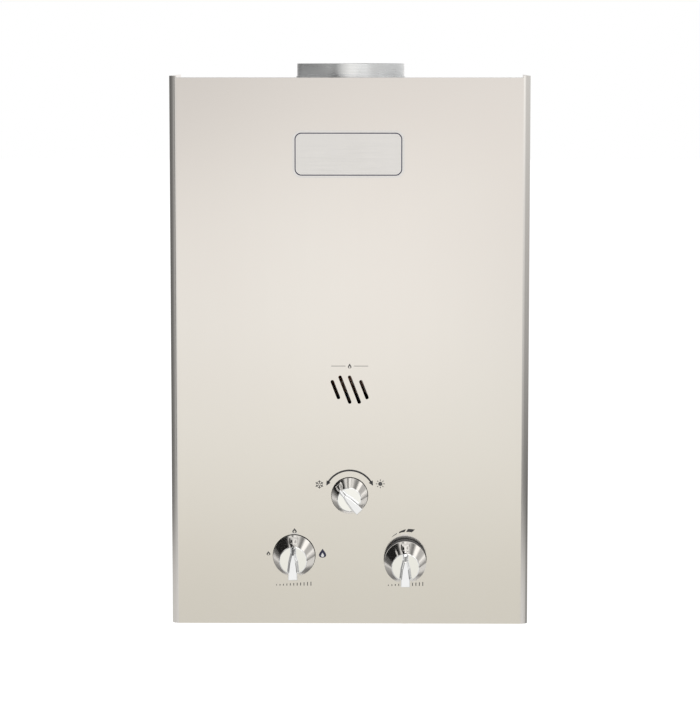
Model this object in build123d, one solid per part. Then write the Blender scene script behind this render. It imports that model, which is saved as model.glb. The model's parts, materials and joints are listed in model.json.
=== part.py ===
from build123d import *
import os
from math import cos, radians, sin

# Wall-hung instantaneous gas water heater, built as separate pieces, in millimetres.
# +X is to the right, +Z is up and the front faces -Y.
# Y = 0 is the wall and Z = 0 is the middle of the casing's height.
# A rise is a height above the casing's bottom edge.

# Casing
case_width = 290.0
case_height = 445.0
case_depth = 125.0
cover_sheet = 0.8
plate_sheet = 1.0
edge_bend_radius = 6.0
corner_rise = 1.5
top_lip_share = 0.66
lip_depth = 20.0
cover_wall_gap = 1.0
side_flange_depth = 16.0
plate_flange_height = 12.0
plate_flange_inset = 12.0

# Clearances and cuts
slip_gap = 0.3
fit_gap = 0.2
running_gap = 0.05
cut_overrun = 5.0

# Wall holes in the back plate
wall_hole_radius = 3.5
wall_hole_inset = 30.0
wall_hole_rise = 50.0
wall_hole_drop = 55.0

# Cover screws and plate rivets
screw_radius = 1.9
screw_head_radius = 3.8
screw_head_height = 1.8
screw_reach = 3.0
lip_screw_inset = 50.0
lip_screw_share = 0.65
side_screw_inset = 57.5
rivet_radius = 1.6
rivet_head_radius = 3.0
rivet_head_height = 0.9
rivet_recess = 0.2
rivet_inset = 60.0

# Vents in the top and bottom plates
vent_length = 40.0
vent_width = 3.0
vent_pitch = 9.0
vent_count = 5
vent_collar_gap = 16.0
floor_vent_length = 34.0
floor_vent_pitch = 46.0
floor_vent_count = 3
floor_vent_rows = 2
floor_vent_inset = 35.0
floor_vent_setback = 26.0

# Knobs: a tapered body with a wedge grip, and a sleeve behind the water knob
knob_spacing = 90.4
knob_row_rise = 56.2
season_lift = 49.5
knob_radius = 17.0
season_knob_radius = 14.6
knob_hole_gap = 0.45
knob_skirt = 12.0
knob_band = 2.0
knob_wall = 1.6
knob_floor = 2.0
knob_cone_height = 23.0
season_cone_height = 20.5
knob_face_share = 0.66
knob_rim_round = 1.5
knob_face_round = 0.8
knob_stand = 2.5
water_knob_stand = 15.0
water_knob_drop = 3.0
sleeve_wall = 1.6
sleeve_reach = 6.0
knob_hub_radius = 6.5
grip_under = 3.0
grip_crest_bevel = 0.5
grip_end_round = 0.4
grip_end_share = 0.84
grip_wide_share = 0.21
grip_shoulder_share = 0.48
grip_shoulder_wide_share = 0.2
grip_middle_wide_share = 0.14
grip_thin_share = 0.05
grip_draft_share = 0.15
grip_waist_share = 0.36
grip_top_share = 0.95
grip_end_height_share = 1.36
grip_peak_height_share = 1.42
grip_tail_height_share = 0.49
season_rest_turn = 43.0

# Spindles and glands
spindle_radius = 4.0
spindle_flat = 1.0
spindle_reach = 16.0
spindle_seat = 14.0
spindle_end_gap = 0.4
gland_across = 16.0
gland_length = 7.0

# Valve bodies
valve_setback = 27.0
gas_valve_width = 40.0
gas_valve_height = 40.0
water_valve_width = 32.0
water_valve_height = 36.0
valve_depth = 62.0
season_valve_width = 36.0
season_valve_height = 24.0
season_valve_depth = 36.0
valve_edge_round = 3.0
port_depth = 12.0
solenoid_radius = 13.0
solenoid_length = 26.0
solenoid_cap_radius = 8.0
solenoid_cap_length = 5.0

# Diaphragm, push rod and microswitch
rod_setback = 26.0
rod_radius = 3.0
rod_seat = 12.0
rod_travel = 4.0
rod_end_gap = 1.0
rod_flange_radius = 10.0
rod_flange_thickness = 2.0
rod_flange_gap = 1.0
diaphragm_radius = 27.0
diaphragm_thickness = 1.5
housing_flange_thickness = 7.0
disc_radius = 16.0
disc_thickness = 2.5
disc_gap = 0.5
disc_side_gap = 2.0
diaphragm_cover_wall = 3.5
cover_boss_radius = 7.0
cover_boss_length = 5.0
housing_screw_radius = 2.0
housing_screw_head_radius = 3.4
housing_screw_head_height = 2.6
housing_screw_circle = 23.0
housing_screw_seat = 5.0
housing_screw_count = 6
lever_arm = 13.5
lever_sheet = 0.8
lever_width = 6.0
lever_gap = 0.3
lever_rod_gap = 1.5
lever_barrel_radius = 1.6
trunnion_radius = 0.8
trunnion_length = 1.6
switch_ear = 2.4
switch_length = 20.0
switch_height = 13.0
switch_ear_rise = 2.0
switch_nose = 3.0
bracket_sheet = 1.5

# Water and gas nipples
nipple_radius = 10.4775
nipple_bore = 7.0
nipple_rear_inset = 10.0
nipple_thread = 10.0
nipple_shank_radius = 10.0
nipple_hex_across = 26.0
nipple_hex_height = 7.0
nipple_stem = 8.0
nipple_nut_across = 27.0
nipple_nut_height = 5.0
hot_outlet_inset = 45.0
drain_setback = 15.0
drain_radius = 4.0
drain_seat = 9.0
drain_stem_radius = 5.0
drain_hole_gap = 0.8
drain_head_across = 14.0
drain_head_height = 4.0

# Combustion chamber and draft hood
side_space = 43.0
front_space = 20.0
rear_space = 19.0
chamber_height_share = 0.576
chamber_sheet = 0.8
flange_width = 6.0
flange_screw_radius = 1.5
flange_screw_head_radius = 2.6
flange_screw_head_height = 1.8
flange_screw_reach = 2.0
flange_screw_spacing = 50.0
hood_sheet = 0.7
hood_headroom = 5.0
hood_margin = 3.0
collar_radius = 44.0
collar_sheet = 0.8
collar_flange = 2.5
collar_stand = 9.5
collar_gap = 1.6
collar_bead = 0.8
collar_bead_height = 1.2
mount_strip_width = 30.0
mount_strip_foot = 14.0
mount_strip_inset = 20.0
sight_window_width = 44.0
sight_window_height = 24.0
sight_pane_overlap = 4.0
sight_pane_sheet = 0.6

# Exchanger
tube_radius = 5.0
tube_wall = 0.8
pass_count = 5
pass_margin = 9.0
fin_height = 38.0
fin_sheet = 0.5
fin_pitch = 6.0
fin_end_gap = 6.0
fin_top_gap = 8.0
bend_standoff = 3.0
stub_length = 10.0
pipe_bend_radius = 14.0
pipe_straight = 5.0
pipe_start = 24.0
pipe_climb = 12.0
hot_pipe_drop = 26.0
hot_pipe_run = 36.0
union_across = 17.0
union_length = 8.0
thermostat_radius = 8.0
thermostat_height = 6.0
thermostat_drop = 70.0

# Burner
flame_height = 16.0
elbow_width = 18.0
elbow_height = 16.0
elbow_knob_gap = 2.0
elbow_run = 14.0
elbow_bore = 3.5
tray_gap = 1.5
rail_height = 7.0
rail_width = 8.0
rail_inset = 8.0
blade_height = 32.0
blade_width = 13.0
blade_neck_width = 8.0
blade_pitch = 22.0
blade_top_gap = 2.0
blade_end_gap = 3.0
blade_shoulder_share = 0.55
blade_neck_share = 0.7
blade_port_width = 2.0
blade_port_pitch = 6.0
blade_port_depth = 5.0
venturi_radius = 4.0
venturi_rise = 9.0
venturi_depth = 40.0
manifold_depth = 11.0
manifold_height = 14.0
manifold_standoff = 4.0
manifold_bore = 3.5
manifold_plug_radius = 5.0
manifold_plug_length = 3.0
manifold_lug_width = 5.0
injector_radius = 3.0
injector_tip_radius = 1.2
injector_length = 6.5
injector_root = 3.0
injector_hole_gap = 1.2

# Ignition
electrode_x = 42.0
electrode_lift = 9.0
ceramic_radius = 3.0
ceramic_out = 8.0
ceramic_in = 10.0
ceramic_flange_radius = 5.5
ceramic_flange_thickness = 2.0
pin_radius = 1.0
pin_out = 5.0
pin_in = 12.0
ignition_box_width = 46.0
ignition_box_depth = 26.0
ignition_box_height = 34.0
ignition_box_lift = 10.0
ignition_box_shift = 20.0
ignition_foot = 8.0
ignition_foot_sheet = 3.0
ignition_edge_round = 2.0

# Battery box in the casing's floor
cell_radius = 16.3
cell_length = 59.5
cell_nub_radius = 4.7
cell_nub_length = 1.6
cell_gap = 0.6
cell_floor_gap = 1.0
contact_sheet = 0.8
contact_width = 12.0
battery_wall = 1.6
battery_side_gap = 5.0
battery_lip_gap = 7.8
battery_flange = 3.0
battery_flange_sheet = 2.0
lid_sheet = 2.0
lid_overlap = 2.0
lid_rear_gap = 1.2
lid_tab_height = 3.0
lid_tab_width = 6.0
lid_tab_sheet = 1.6
lid_tab_gap = 0.8
hinge_barrel_radius = 2.4
hinge_pin_radius = 1.2
hinge_ear_width = 4.0
hinge_ear_depth = 6.0

# Sight slots
slot_count = 4
slot_long = 24.5
slot_short = 16.6
slot_width = 2.85
slot_pitch = 7.7
slot_lean = 21.0

# Places of the casing's faces
half_width = case_width / 2
floor_z = -case_height / 2
roof_z = case_height / 2
front_y = -case_depth
panel_half = half_width - edge_bend_radius
lip_top_z = roof_z - corner_rise
cover_inner_y = front_y + cover_sheet
cover_inner_x = half_width - cover_sheet
plate_half = cover_inner_x - slip_gap
shelf_half = plate_half - plate_sheet - slip_gap
shelf_front_y = cover_inner_y + slip_gap
back_y = -plate_sheet
bottom_z = floor_z + cover_sheet
bottom_top_z = bottom_z + plate_sheet
top_z = lip_top_z - cover_sheet
top_under_z = top_z - plate_sheet
lip_screw_x = half_width - lip_screw_inset
lip_screw_y = front_y + lip_depth * lip_screw_share
side_screw_y = -(plate_sheet + side_flange_depth) / 2
side_screw_zs = (floor_z + side_screw_inset, roof_z - side_screw_inset)
wall_hole_x = half_width - wall_hole_inset
wall_hole_zs = (floor_z + wall_hole_rise, roof_z - wall_hole_drop)
rivet_x = half_width - rivet_inset
hot_outlet_x = half_width - hot_outlet_inset

# Places of the knobs, valves and link rod
knob_row_z = floor_z + knob_row_rise
season_z = knob_row_z + season_lift
gas_x = -knob_spacing / 2
water_x = knob_spacing / 2
water_z = knob_row_z - water_knob_drop
sleeve_radius = knob_radius - sleeve_wall
sleeve_front_y = front_y - water_knob_stand + knob_band
valve_front_y = front_y + valve_setback
valve_rear_y = valve_front_y + valve_depth
nipple_y = valve_rear_y - nipple_rear_inset
rod_y = valve_front_y + rod_setback
gas_right_x = gas_x + gas_valve_width / 2
gas_top_z = knob_row_z + gas_valve_height / 2
gas_under_z = knob_row_z - gas_valve_height / 2
water_left_x = water_x - water_valve_width / 2
water_top_z = knob_row_z + water_valve_height / 2
water_under_z = knob_row_z - water_valve_height / 2
season_top_z = season_z + season_valve_height / 2
diaphragm_right_x = water_left_x - housing_flange_thickness
diaphragm_left_x = diaphragm_right_x - diaphragm_thickness
disc_depth = disc_thickness + rod_travel + 2 * disc_gap
cover_left_x = diaphragm_left_x - disc_depth - diaphragm_cover_wall
boss_left_x = cover_left_x - cover_boss_length
disc_right_x = diaphragm_left_x - disc_gap
disc_left_x = disc_right_x - disc_thickness
rod_flange_right_x = boss_left_x - rod_flange_gap
rod_flange_left_x = rod_flange_right_x - rod_flange_thickness
lever_x = rod_flange_left_x - lever_gap - lever_sheet / 2
lever_z = knob_row_z - rod_flange_radius - lever_arm
switch_left_x = lever_x + switch_nose - switch_length
switch_top_z = lever_z + switch_ear_rise
switch_under_z = switch_top_z - switch_height
drain_y = valve_front_y + drain_setback
drain_head_top_z = bottom_z - slip_gap
nipple_nut_z = bottom_z - nipple_nut_height
nipple_low_z = nipple_nut_z - nipple_thread

# Places of the burner, chamber and hood
chamber_half = cover_inner_x - side_space
chamber_front_y = cover_inner_y + front_space
chamber_rear_y = back_y - rear_space
flue_y = (chamber_front_y + chamber_rear_y) / 2
top_lip_depth = top_lip_share * (flue_y - collar_radius - collar_bead - front_y)
tray_z = season_top_z + elbow_height + tray_gap
blade_z = tray_z + rail_height
blade_top_z = blade_z + blade_height
chamber_z = blade_top_z + blade_top_gap
hood_top_z = top_under_z - hood_headroom
chamber_height = chamber_height_share * (hood_top_z - chamber_z)
chamber_top_z = chamber_z + chamber_height
sight_z = chamber_z + flame_height
collar_rim_z = roof_z + collar_stand
chamber_inner_half = chamber_half - chamber_sheet
inner_front_y = chamber_front_y + chamber_sheet
inner_rear_y = chamber_rear_y - chamber_sheet
blade_count = int((2 * chamber_inner_half - blade_width) / blade_pitch) + 1
blade_xs = [(i - (blade_count - 1) / 2) * blade_pitch for i in range(blade_count)]
blade_front_y = inner_front_y + blade_end_gap
blade_rear_y = inner_rear_y - blade_end_gap
venturi_z = blade_z + venturi_rise
manifold_rear_y = chamber_front_y - manifold_standoff
manifold_front_y = manifold_rear_y - manifold_depth
manifold_under_z = venturi_z - manifold_height / 2
electrode_z = chamber_z + electrode_lift
flange_screw_x = chamber_half + flange_width / 2
flange_screw_ys = (flue_y - flange_screw_spacing / 2, flue_y + flange_screw_spacing / 2)

# Places of the exchanger and its pipes
tube_z = chamber_top_z - fin_top_gap - fin_height / 2
pass_pitch = (inner_rear_y - inner_front_y - 2 * pass_margin) / (pass_count - 1)
pass_ys = [inner_front_y + pass_margin + i * pass_pitch for i in range(pass_count)]
bend_x = chamber_half + bend_standoff
stub_x = chamber_half + stub_length
leg_x = stub_x + pipe_straight + pipe_bend_radius
hot_top_z = bottom_top_z + nipple_hex_height + nipple_stem

# Places of the battery box
cell_pitch = 2 * (cell_radius + cell_gap)
battery_right_x = plate_half - battery_side_gap
battery_x = battery_right_x - battery_wall - cell_gap - cell_radius
battery_inner_half = cell_radius + cell_gap
battery_half = battery_inner_half + battery_wall
battery_inner_front_y = front_y + lip_depth + battery_lip_gap
battery_inner_rear_y = battery_inner_front_y + 2 * cell_pitch
battery_front_y = battery_inner_front_y - battery_wall
battery_rear_y = battery_inner_rear_y + battery_wall
cell_ys = (battery_inner_rear_y - cell_pitch / 2, battery_inner_front_y + cell_pitch / 2)
lid_top_z = bottom_z - slip_gap
cell_z = lid_top_z + cell_floor_gap
battery_inner_top_z = cell_z + cell_length + cell_nub_length + contact_sheet
battery_top_z = battery_inner_top_z + battery_wall
hinge_y = battery_inner_rear_y + hinge_ear_depth / 2
hinge_z = lid_top_z - hinge_barrel_radius
ignition_x = battery_x - ignition_box_shift
ignition_z = battery_top_z + ignition_box_lift


# Shared shapes
def block(x0, x1, y0, y1, z0, z1):
    """A box between two corners."""
    size = Box(abs(x1 - x0), abs(y1 - y0), abs(z1 - z0))
    return Pos((x0 + x1) / 2, (y0 + y1) / 2, (z0 + z1) / 2) * size


def bar_x(radius, x0, x1, y, z):
    """A cylinder along X."""
    return Pos((x0 + x1) / 2, y, z) * Rot(0, 90, 0) * Cylinder(radius, abs(x1 - x0))


def bar_y(radius, y0, y1, x, z):
    """A cylinder along Y."""
    return Pos(x, (y0 + y1) / 2, z) * Rot(90, 0, 0) * Cylinder(radius, abs(y1 - y0))


def bar_z(radius, z0, z1, x, y):
    """A cylinder along Z."""
    return Pos(x, y, (z0 + z1) / 2) * Cylinder(radius, abs(z1 - z0))


def hex_prism(across, length):
    """A hexagonal prism along Z from the origin up."""
    return extrude(RegularPolygon(across / 2, 6, major_radius=False), amount=length)


def pipe(points, bend, outer, wall):
    """A round tube along straight runs joined by arcs of one radius."""
    path = FilletPolyline(*points, radius=bend)
    ring = Circle(outer) - Circle(outer - wall)
    return sweep(Plane(origin=path @ 0, z_dir=path % 0) * ring, path=path)


def panel_cut(plan):
    """The cutter of a plan drawn on the front panel, with X right and Y up."""
    before = Plane.XZ.offset(case_depth + cut_overrun)
    return extrude(before * plan, amount=-cover_sheet - 2 * cut_overrun)


def rounded_plan(x_half, y_front, y_rear, radius):
    """A rectangle in plan, its two front corners rounded."""
    plan = Pos(0, (y_front + y_rear) / 2) * Rectangle(2 * x_half, y_rear - y_front)
    return fillet(plan.vertices().group_by(Axis.Y)[0], radius)


def flange_ring(z0, z1):
    """The flat ring by which the hood, the chamber and the burner tray are joined."""
    outer = block(
        -chamber_half - flange_width,
        chamber_half + flange_width,
        chamber_front_y - flange_width,
        chamber_rear_y + flange_width,
        z0,
        z1,
    )
    inner = block(
        -chamber_inner_half,
        chamber_inner_half,
        inner_front_y,
        inner_rear_y,
        z0 - cut_overrun,
        z1 + cut_overrun,
    )
    return outer - inner


def flange_holes(z):
    """Cutters for the screws of one flange joint."""
    radius = flange_screw_radius + fit_gap
    return [
        bar_z(radius, z - cut_overrun, z + cut_overrun, side * flange_screw_x, y)
        for side in (-1, 1)
        for y in flange_screw_ys
    ]


def duct(z0, z1):
    """The upright sheet walls shared by the chamber and the burner tray."""
    outer = block(-chamber_half, chamber_half, chamber_front_y, chamber_rear_y, z0, z1)
    inner = block(
        -chamber_inner_half,
        chamber_inner_half,
        inner_front_y,
        inner_rear_y,
        z0 - cut_overrun,
        z1 + cut_overrun,
    )
    return outer - inner


# Casing
def sight_slots():
    """Cutters of the slanted slots, the first and the last shorter."""
    cuts = []
    for i in range(slot_count):
        length = slot_short if i in (0, slot_count - 1) else slot_long
        slot = Rot(0, 0, 90 + slot_lean) * SlotOverall(length, slot_width)
        cuts.append(panel_cut(Pos((i - (slot_count - 1) / 2) * slot_pitch, sight_z) * slot))
    return cuts


def side_screw_places():
    return [(side, z) for side in (-1, 1) for z in side_screw_zs]


def front_cover():
    """Front panel and both sides in one bent sheet, with a lip along the top and the bottom."""
    outer = rounded_plan(half_width, front_y, -cover_wall_gap, edge_bend_radius)
    inner = rounded_plan(cover_inner_x, cover_inner_y, cut_overrun, edge_bend_radius - cover_sheet)
    cover = Pos(0, 0, floor_z) * extrude(outer - inner, amount=case_height)
    half = panel_half
    bend_y = front_y + edge_bend_radius
    cover -= block(-half, half, front_y - cut_overrun, bend_y, lip_top_z, roof_z + cut_overrun)
    cover += block(-half, half, front_y, front_y + top_lip_depth, top_z, lip_top_z)
    cover += block(-half, half, front_y, front_y + lip_depth, floor_z, bottom_z)
    hole = knob_radius + knob_hole_gap
    cuts = sight_slots()
    cuts.append(panel_cut(Pos(gas_x, knob_row_z) * Circle(hole)))
    cuts.append(panel_cut(Pos(water_x, water_z) * Circle(hole)))
    cuts.append(panel_cut(Pos(0, season_z) * Circle(season_knob_radius + knob_hole_gap)))
    for side in (-1, 1):
        x = side * lip_screw_x
        z1 = bottom_z + cut_overrun
        cuts.append(bar_z(screw_radius + fit_gap, floor_z - cut_overrun, z1, x, lip_screw_y))
    for side, z in side_screw_places():
        inside_x = side * (cover_inner_x - cut_overrun)
        outside_x = side * (half_width + cut_overrun)
        cuts.append(bar_x(screw_radius + fit_gap, inside_x, outside_x, side_screw_y, z))
    return cover - cuts


def back_plate():
    """Flat plate on the wall with a flange along each side that the cover slides over."""
    plate = block(-plate_half, plate_half, back_y, 0, bottom_z, top_z)
    for side in (-1, 1):
        edge_x = side * plate_half
        plate += block(edge_x - side * plate_sheet, edge_x, -side_flange_depth, back_y, bottom_z, top_z)
    cuts = []
    for side in (-1, 1):
        x = side * wall_hole_x
        cuts += [bar_y(wall_hole_radius, -cut_overrun, cut_overrun, x, z) for z in wall_hole_zs]
    for side, z in side_screw_places():
        inside_x = side * (plate_half - cut_overrun)
        outside_x = side * (plate_half + cut_overrun)
        cuts.append(bar_x(screw_radius + fit_gap, inside_x, outside_x, side_screw_y, z))
    for x, z in rivet_places():
        cuts.append(bar_y(rivet_radius + fit_gap, -cut_overrun, cut_overrun, x, z))
    return plate - cuts


def rivet_places():
    top = top_under_z - plate_flange_height / 2
    bottom = bottom_top_z + plate_flange_height / 2
    return [(side * rivet_x, z) for side in (-1, 1) for z in (top, bottom)]


def shelf(z0, z1, flange_z):
    """A plate across the casing with a flange riveted to the back plate."""
    plan = rounded_plan(shelf_half, shelf_front_y, back_y, edge_bend_radius)
    plate = Pos(0, 0, z0) * extrude(plan, amount=z1 - z0)
    inset_half = shelf_half - plate_flange_inset
    plate += block(-inset_half, inset_half, back_y - plate_sheet, back_y, flange_z, (z0 + z1) / 2)
    holes = [
        bar_y(rivet_radius + fit_gap, back_y - plate_sheet - cut_overrun, back_y + cut_overrun, x, z)
        for x, z in rivet_places()
        if min(z0, flange_z) < z < max(z1, flange_z)
    ]
    return plate - holes


def top_plate():
    """Roof shelf with the flue hole and a row of vents on each side of it."""
    plate = shelf(top_under_z, top_z, top_under_z - plate_flange_height)
    z0 = top_under_z - cut_overrun
    z1 = top_z + cut_overrun
    cuts = [bar_z(collar_radius + collar_gap, z0, z1, 0, flue_y)]
    vent = extrude(SlotOverall(vent_length, vent_width, rotation=90), amount=z1 - z0)
    for side in (-1, 1):
        for i in range(vent_count):
            x = side * (collar_radius + vent_collar_gap + i * vent_pitch)
            cuts.append(Pos(x, flue_y, z0) * vent)
    return plate - cuts


def bottom_plate():
    """Floor shelf with holes for the nipples, the drain plug, the batteries and the air."""
    plate = shelf(bottom_z, bottom_top_z, bottom_top_z + plate_flange_height)
    z0 = bottom_z - cut_overrun
    z1 = bottom_top_z + cut_overrun
    cuts = [bar_z(nipple_radius + fit_gap, z0, z1, x, nipple_y) for x in (-hot_outlet_x, gas_x, water_x)]
    cuts.append(bar_z(drain_stem_radius + drain_hole_gap, z0, z1, water_x, drain_y))
    for side in (-1, 1):
        cuts.append(bar_z(screw_radius + fit_gap, z0, z1, side * lip_screw_x, lip_screw_y))
    cell_x0 = battery_x - battery_inner_half
    cell_x1 = battery_x + battery_inner_half
    cuts.append(block(cell_x0, cell_x1, battery_inner_front_y, battery_inner_rear_y, z0, z1))
    for x0 in (cell_x0, cell_x1 - hinge_ear_width):
        x1 = x0 + hinge_ear_width + fit_gap
        rear_y = battery_inner_rear_y + hinge_ear_depth + fit_gap
        cuts.append(block(x0 - fit_gap, x1, battery_inner_rear_y - fit_gap, rear_y, z0, z1))
    vent = extrude(SlotOverall(floor_vent_length, vent_width), amount=z1 - z0)
    for i in range(floor_vent_count):
        for row in range(floor_vent_rows):
            x = floor_vent_inset - half_width + i * floor_vent_pitch
            cuts.append(Pos(x, front_y + floor_vent_setback + row * vent_pitch, z0) * vent)
    return plate - cuts


def cover_screws():
    """Two screws up through the bottom lip and two into each side flange."""
    screws = []
    for side in (-1, 1):
        x = side * lip_screw_x
        head = bar_z(screw_head_radius, floor_z - screw_head_height, floor_z, x, lip_screw_y)
        screws.append(head + bar_z(screw_radius, floor_z, bottom_top_z + screw_reach, x, lip_screw_y))
    for side, z in side_screw_places():
        head_x = side * (half_width + screw_head_height)
        tip_x = side * (plate_half - plate_sheet - screw_reach)
        head = bar_x(screw_head_radius, side * half_width, head_x, side_screw_y, z)
        screws.append(head + bar_x(screw_radius, side * half_width, tip_x, side_screw_y, z))
    return Compound(children=screws)


def plate_rivets():
    """Rivets that hold the top and bottom plates to the back plate."""
    seat_y = back_y - plate_sheet
    rivets = []
    for x, z in rivet_places():
        head = bar_y(rivet_head_radius, seat_y - rivet_head_height, seat_y, x, z)
        rivets.append(head + bar_y(rivet_radius, seat_y, -rivet_recess, x, z))
    return Compound(children=rivets)


# Flue way
def flue_collar():
    """Round spigot for the flue pipe, with a stop bead and a flange that sits on the hood."""
    tube = bar_z(collar_radius, hood_top_z, collar_rim_z, 0, flue_y)
    tube += bar_z(collar_radius + collar_flange, hood_top_z, hood_top_z + collar_sheet, 0, flue_y)
    bead_z = top_z + slip_gap
    tube += bar_z(collar_radius + collar_bead, bead_z, bead_z + collar_bead_height, 0, flue_y)
    bore = collar_radius - collar_sheet
    return tube - bar_z(bore, hood_top_z - cut_overrun, collar_rim_z + cut_overrun, 0, flue_y)


def hood_solid(inset, top_z):
    """The tapering duct from the chamber's plan to the square under the collar."""
    depth = chamber_rear_y - chamber_front_y
    square = 2 * (collar_radius + hood_margin - inset)
    lower = Pos(0, flue_y, chamber_top_z) * Rectangle(2 * (chamber_half - inset), depth - 2 * inset)
    upper = Pos(0, flue_y, top_z) * Rectangle(square, square)
    return loft([lower, upper])


def draft_hood():
    """Sheet hood over the chamber, open below, with a round outlet in its roof."""
    hood = hood_solid(0, hood_top_z) + flange_ring(chamber_top_z, chamber_top_z + chamber_sheet)
    hood -= hood_solid(hood_sheet, hood_top_z - hood_sheet)
    outlet = collar_radius - collar_sheet
    hood -= bar_z(outlet, hood_top_z - cut_overrun, hood_top_z + cut_overrun, 0, flue_y)
    return hood - flange_holes(chamber_top_z)


def combustion_chamber():
    """Copper duct round the exchanger, with a flange at each end and a sight opening."""
    chamber = duct(chamber_z, chamber_top_z)
    chamber += flange_ring(chamber_z, chamber_z + chamber_sheet)
    chamber += flange_ring(chamber_top_z - chamber_sheet, chamber_top_z)
    cuts = flange_holes(chamber_z) + flange_holes(chamber_top_z)
    reach = chamber_half + cut_overrun
    cuts += [bar_x(tube_radius + fit_gap, -reach, reach, y, tube_z) for y in pass_ys]
    y0 = chamber_front_y - cut_overrun
    y1 = inner_front_y + cut_overrun
    for side in (-1, 1):
        cuts.append(bar_y(ceramic_radius + fit_gap, y0, y1, side * electrode_x, electrode_z))
    half = sight_window_width / 2
    rise = sight_window_height / 2
    cuts.append(block(-half, half, y0, y1, sight_z - rise, sight_z + rise))
    return chamber - cuts


def sight_pane():
    """Clear pane over the chamber's sight opening, behind the slots of the panel."""
    half = sight_window_width / 2 + sight_pane_overlap
    rise = sight_window_height / 2 + sight_pane_overlap
    low = max(sight_z - rise, chamber_z + chamber_sheet)
    return block(-half, half, chamber_front_y - sight_pane_sheet, chamber_front_y, low, sight_z + rise)


def flange_screws():
    """Screws through the joints of tray and chamber and of chamber and hood."""
    screws = []
    for z in (chamber_z, chamber_top_z):
        top = z + chamber_sheet
        for side in (-1, 1):
            for y in flange_screw_ys:
                x = side * flange_screw_x
                head = bar_z(flange_screw_head_radius, top, top + flange_screw_head_height, x, y)
                shank = bar_z(flange_screw_radius, z - chamber_sheet - flange_screw_reach, top, x, y)
                screws.append(head + shank)
    return Compound(children=screws)


def chamber_brackets():
    """Two channels that carry the chamber off the back plate."""
    z = chamber_z + chamber_height / 2
    brackets = []
    for side in (-1, 1):
        x0 = side * (chamber_half - mount_strip_inset)
        x1 = x0 - side * mount_strip_width
        web = block(x0, x1, chamber_rear_y, back_y, z, z + bracket_sheet)
        web += block(x0, x1, chamber_rear_y, chamber_rear_y + bracket_sheet, z, z + mount_strip_foot)
        web += block(x0, x1, back_y - bracket_sheet, back_y, z, z + mount_strip_foot)
        brackets.append(web)
    return Compound(children=brackets)


# Exchanger and its pipes
def heat_exchanger_fins():
    """Row of thin plates threaded on the tube."""
    fin = block(
        -fin_sheet / 2,
        fin_sheet / 2,
        inner_front_y + fit_gap,
        inner_rear_y - fit_gap,
        tube_z - fin_height / 2,
        tube_z + fin_height / 2,
    )
    fin -= [bar_x(tube_radius + fit_gap, -cut_overrun, cut_overrun, y, tube_z) for y in pass_ys]
    span = 2 * (chamber_inner_half - fin_end_gap)
    count = int(span / fin_pitch) + 1
    xs = [(i - (count - 1) / 2) * fin_pitch for i in range(count)]
    return Compound(children=[Pos(x, 0, 0) * fin for x in xs])


def heat_exchanger_tube():
    """One tube to and fro through the fins, from the right front to the left rear."""
    edges = []
    side = -1
    start_x = stub_x
    for i in range(pass_count):
        end_x = side * (stub_x if i == pass_count - 1 else bend_x)
        edges.append(Line((start_x, pass_ys[i], tube_z), (end_x, pass_ys[i], tube_z)))
        if i < pass_count - 1:
            bend_start = (end_x, pass_ys[i], tube_z)
            bend_middle = (end_x + side * pass_pitch / 2, pass_ys[i] + pass_pitch / 2, tube_z)
            bend_end = (end_x, pass_ys[i + 1], tube_z)
            edges.append(ThreePointArc(bend_start, bend_middle, bend_end))
        start_x = end_x
        side = -side
    ring = Circle(tube_radius) - Circle(tube_radius - tube_wall)
    start = Plane(origin=(stub_x, pass_ys[0], tube_z), z_dir=(-1, 0, 0))
    return sweep(start * ring, path=Wire([edge.edge() for edge in edges]))


def inlet_pipe():
    """Cold water from the water valve up the right side to the exchanger."""
    low_z = water_top_z + pipe_start
    points = [
        (water_x, rod_y, water_top_z),
        (water_x, rod_y, low_z),
        (leg_x, pass_ys[0], low_z + pipe_climb),
        (leg_x, pass_ys[0], tube_z),
        (stub_x, pass_ys[0], tube_z),
    ]
    return pipe(points, pipe_bend_radius, tube_radius, tube_wall)


def outlet_pipe():
    """Hot water from the exchanger down the left side to the hot nipple."""
    low_z = hot_top_z + hot_pipe_drop
    points = [
        (-stub_x, pass_ys[-1], tube_z),
        (-leg_x, pass_ys[-1], tube_z),
        (-leg_x, pass_ys[-1], low_z + hot_pipe_run),
        (-hot_outlet_x, nipple_y, low_z),
        (-hot_outlet_x, nipple_y, hot_top_z),
    ]
    return pipe(points, pipe_bend_radius, tube_radius, tube_wall)


def union_nuts():
    """Nuts over the four pipe joints."""
    nut = hex_prism(union_across, union_length)
    nut -= bar_z(tube_radius + fit_gap, -cut_overrun, union_length + cut_overrun, 0, 0)
    sideways = Rot(0, 90, 0) * nut
    middle = union_length / 2
    return Compound(
        children=[
            Pos(water_x, rod_y, water_top_z) * nut,
            Pos(-hot_outlet_x, nipple_y, hot_top_z) * nut,
            Pos(stub_x - middle, pass_ys[0], tube_z) * sideways,
            Pos(-stub_x - middle, pass_ys[-1], tube_z) * sideways,
        ]
    )


def overheat_thermostat():
    """Button thermostat against the hot leg."""
    x = -leg_x + tube_radius + fit_gap
    return bar_x(thermostat_radius, x, x + thermostat_height, pass_ys[-1], tube_z - thermostat_drop)


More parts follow.
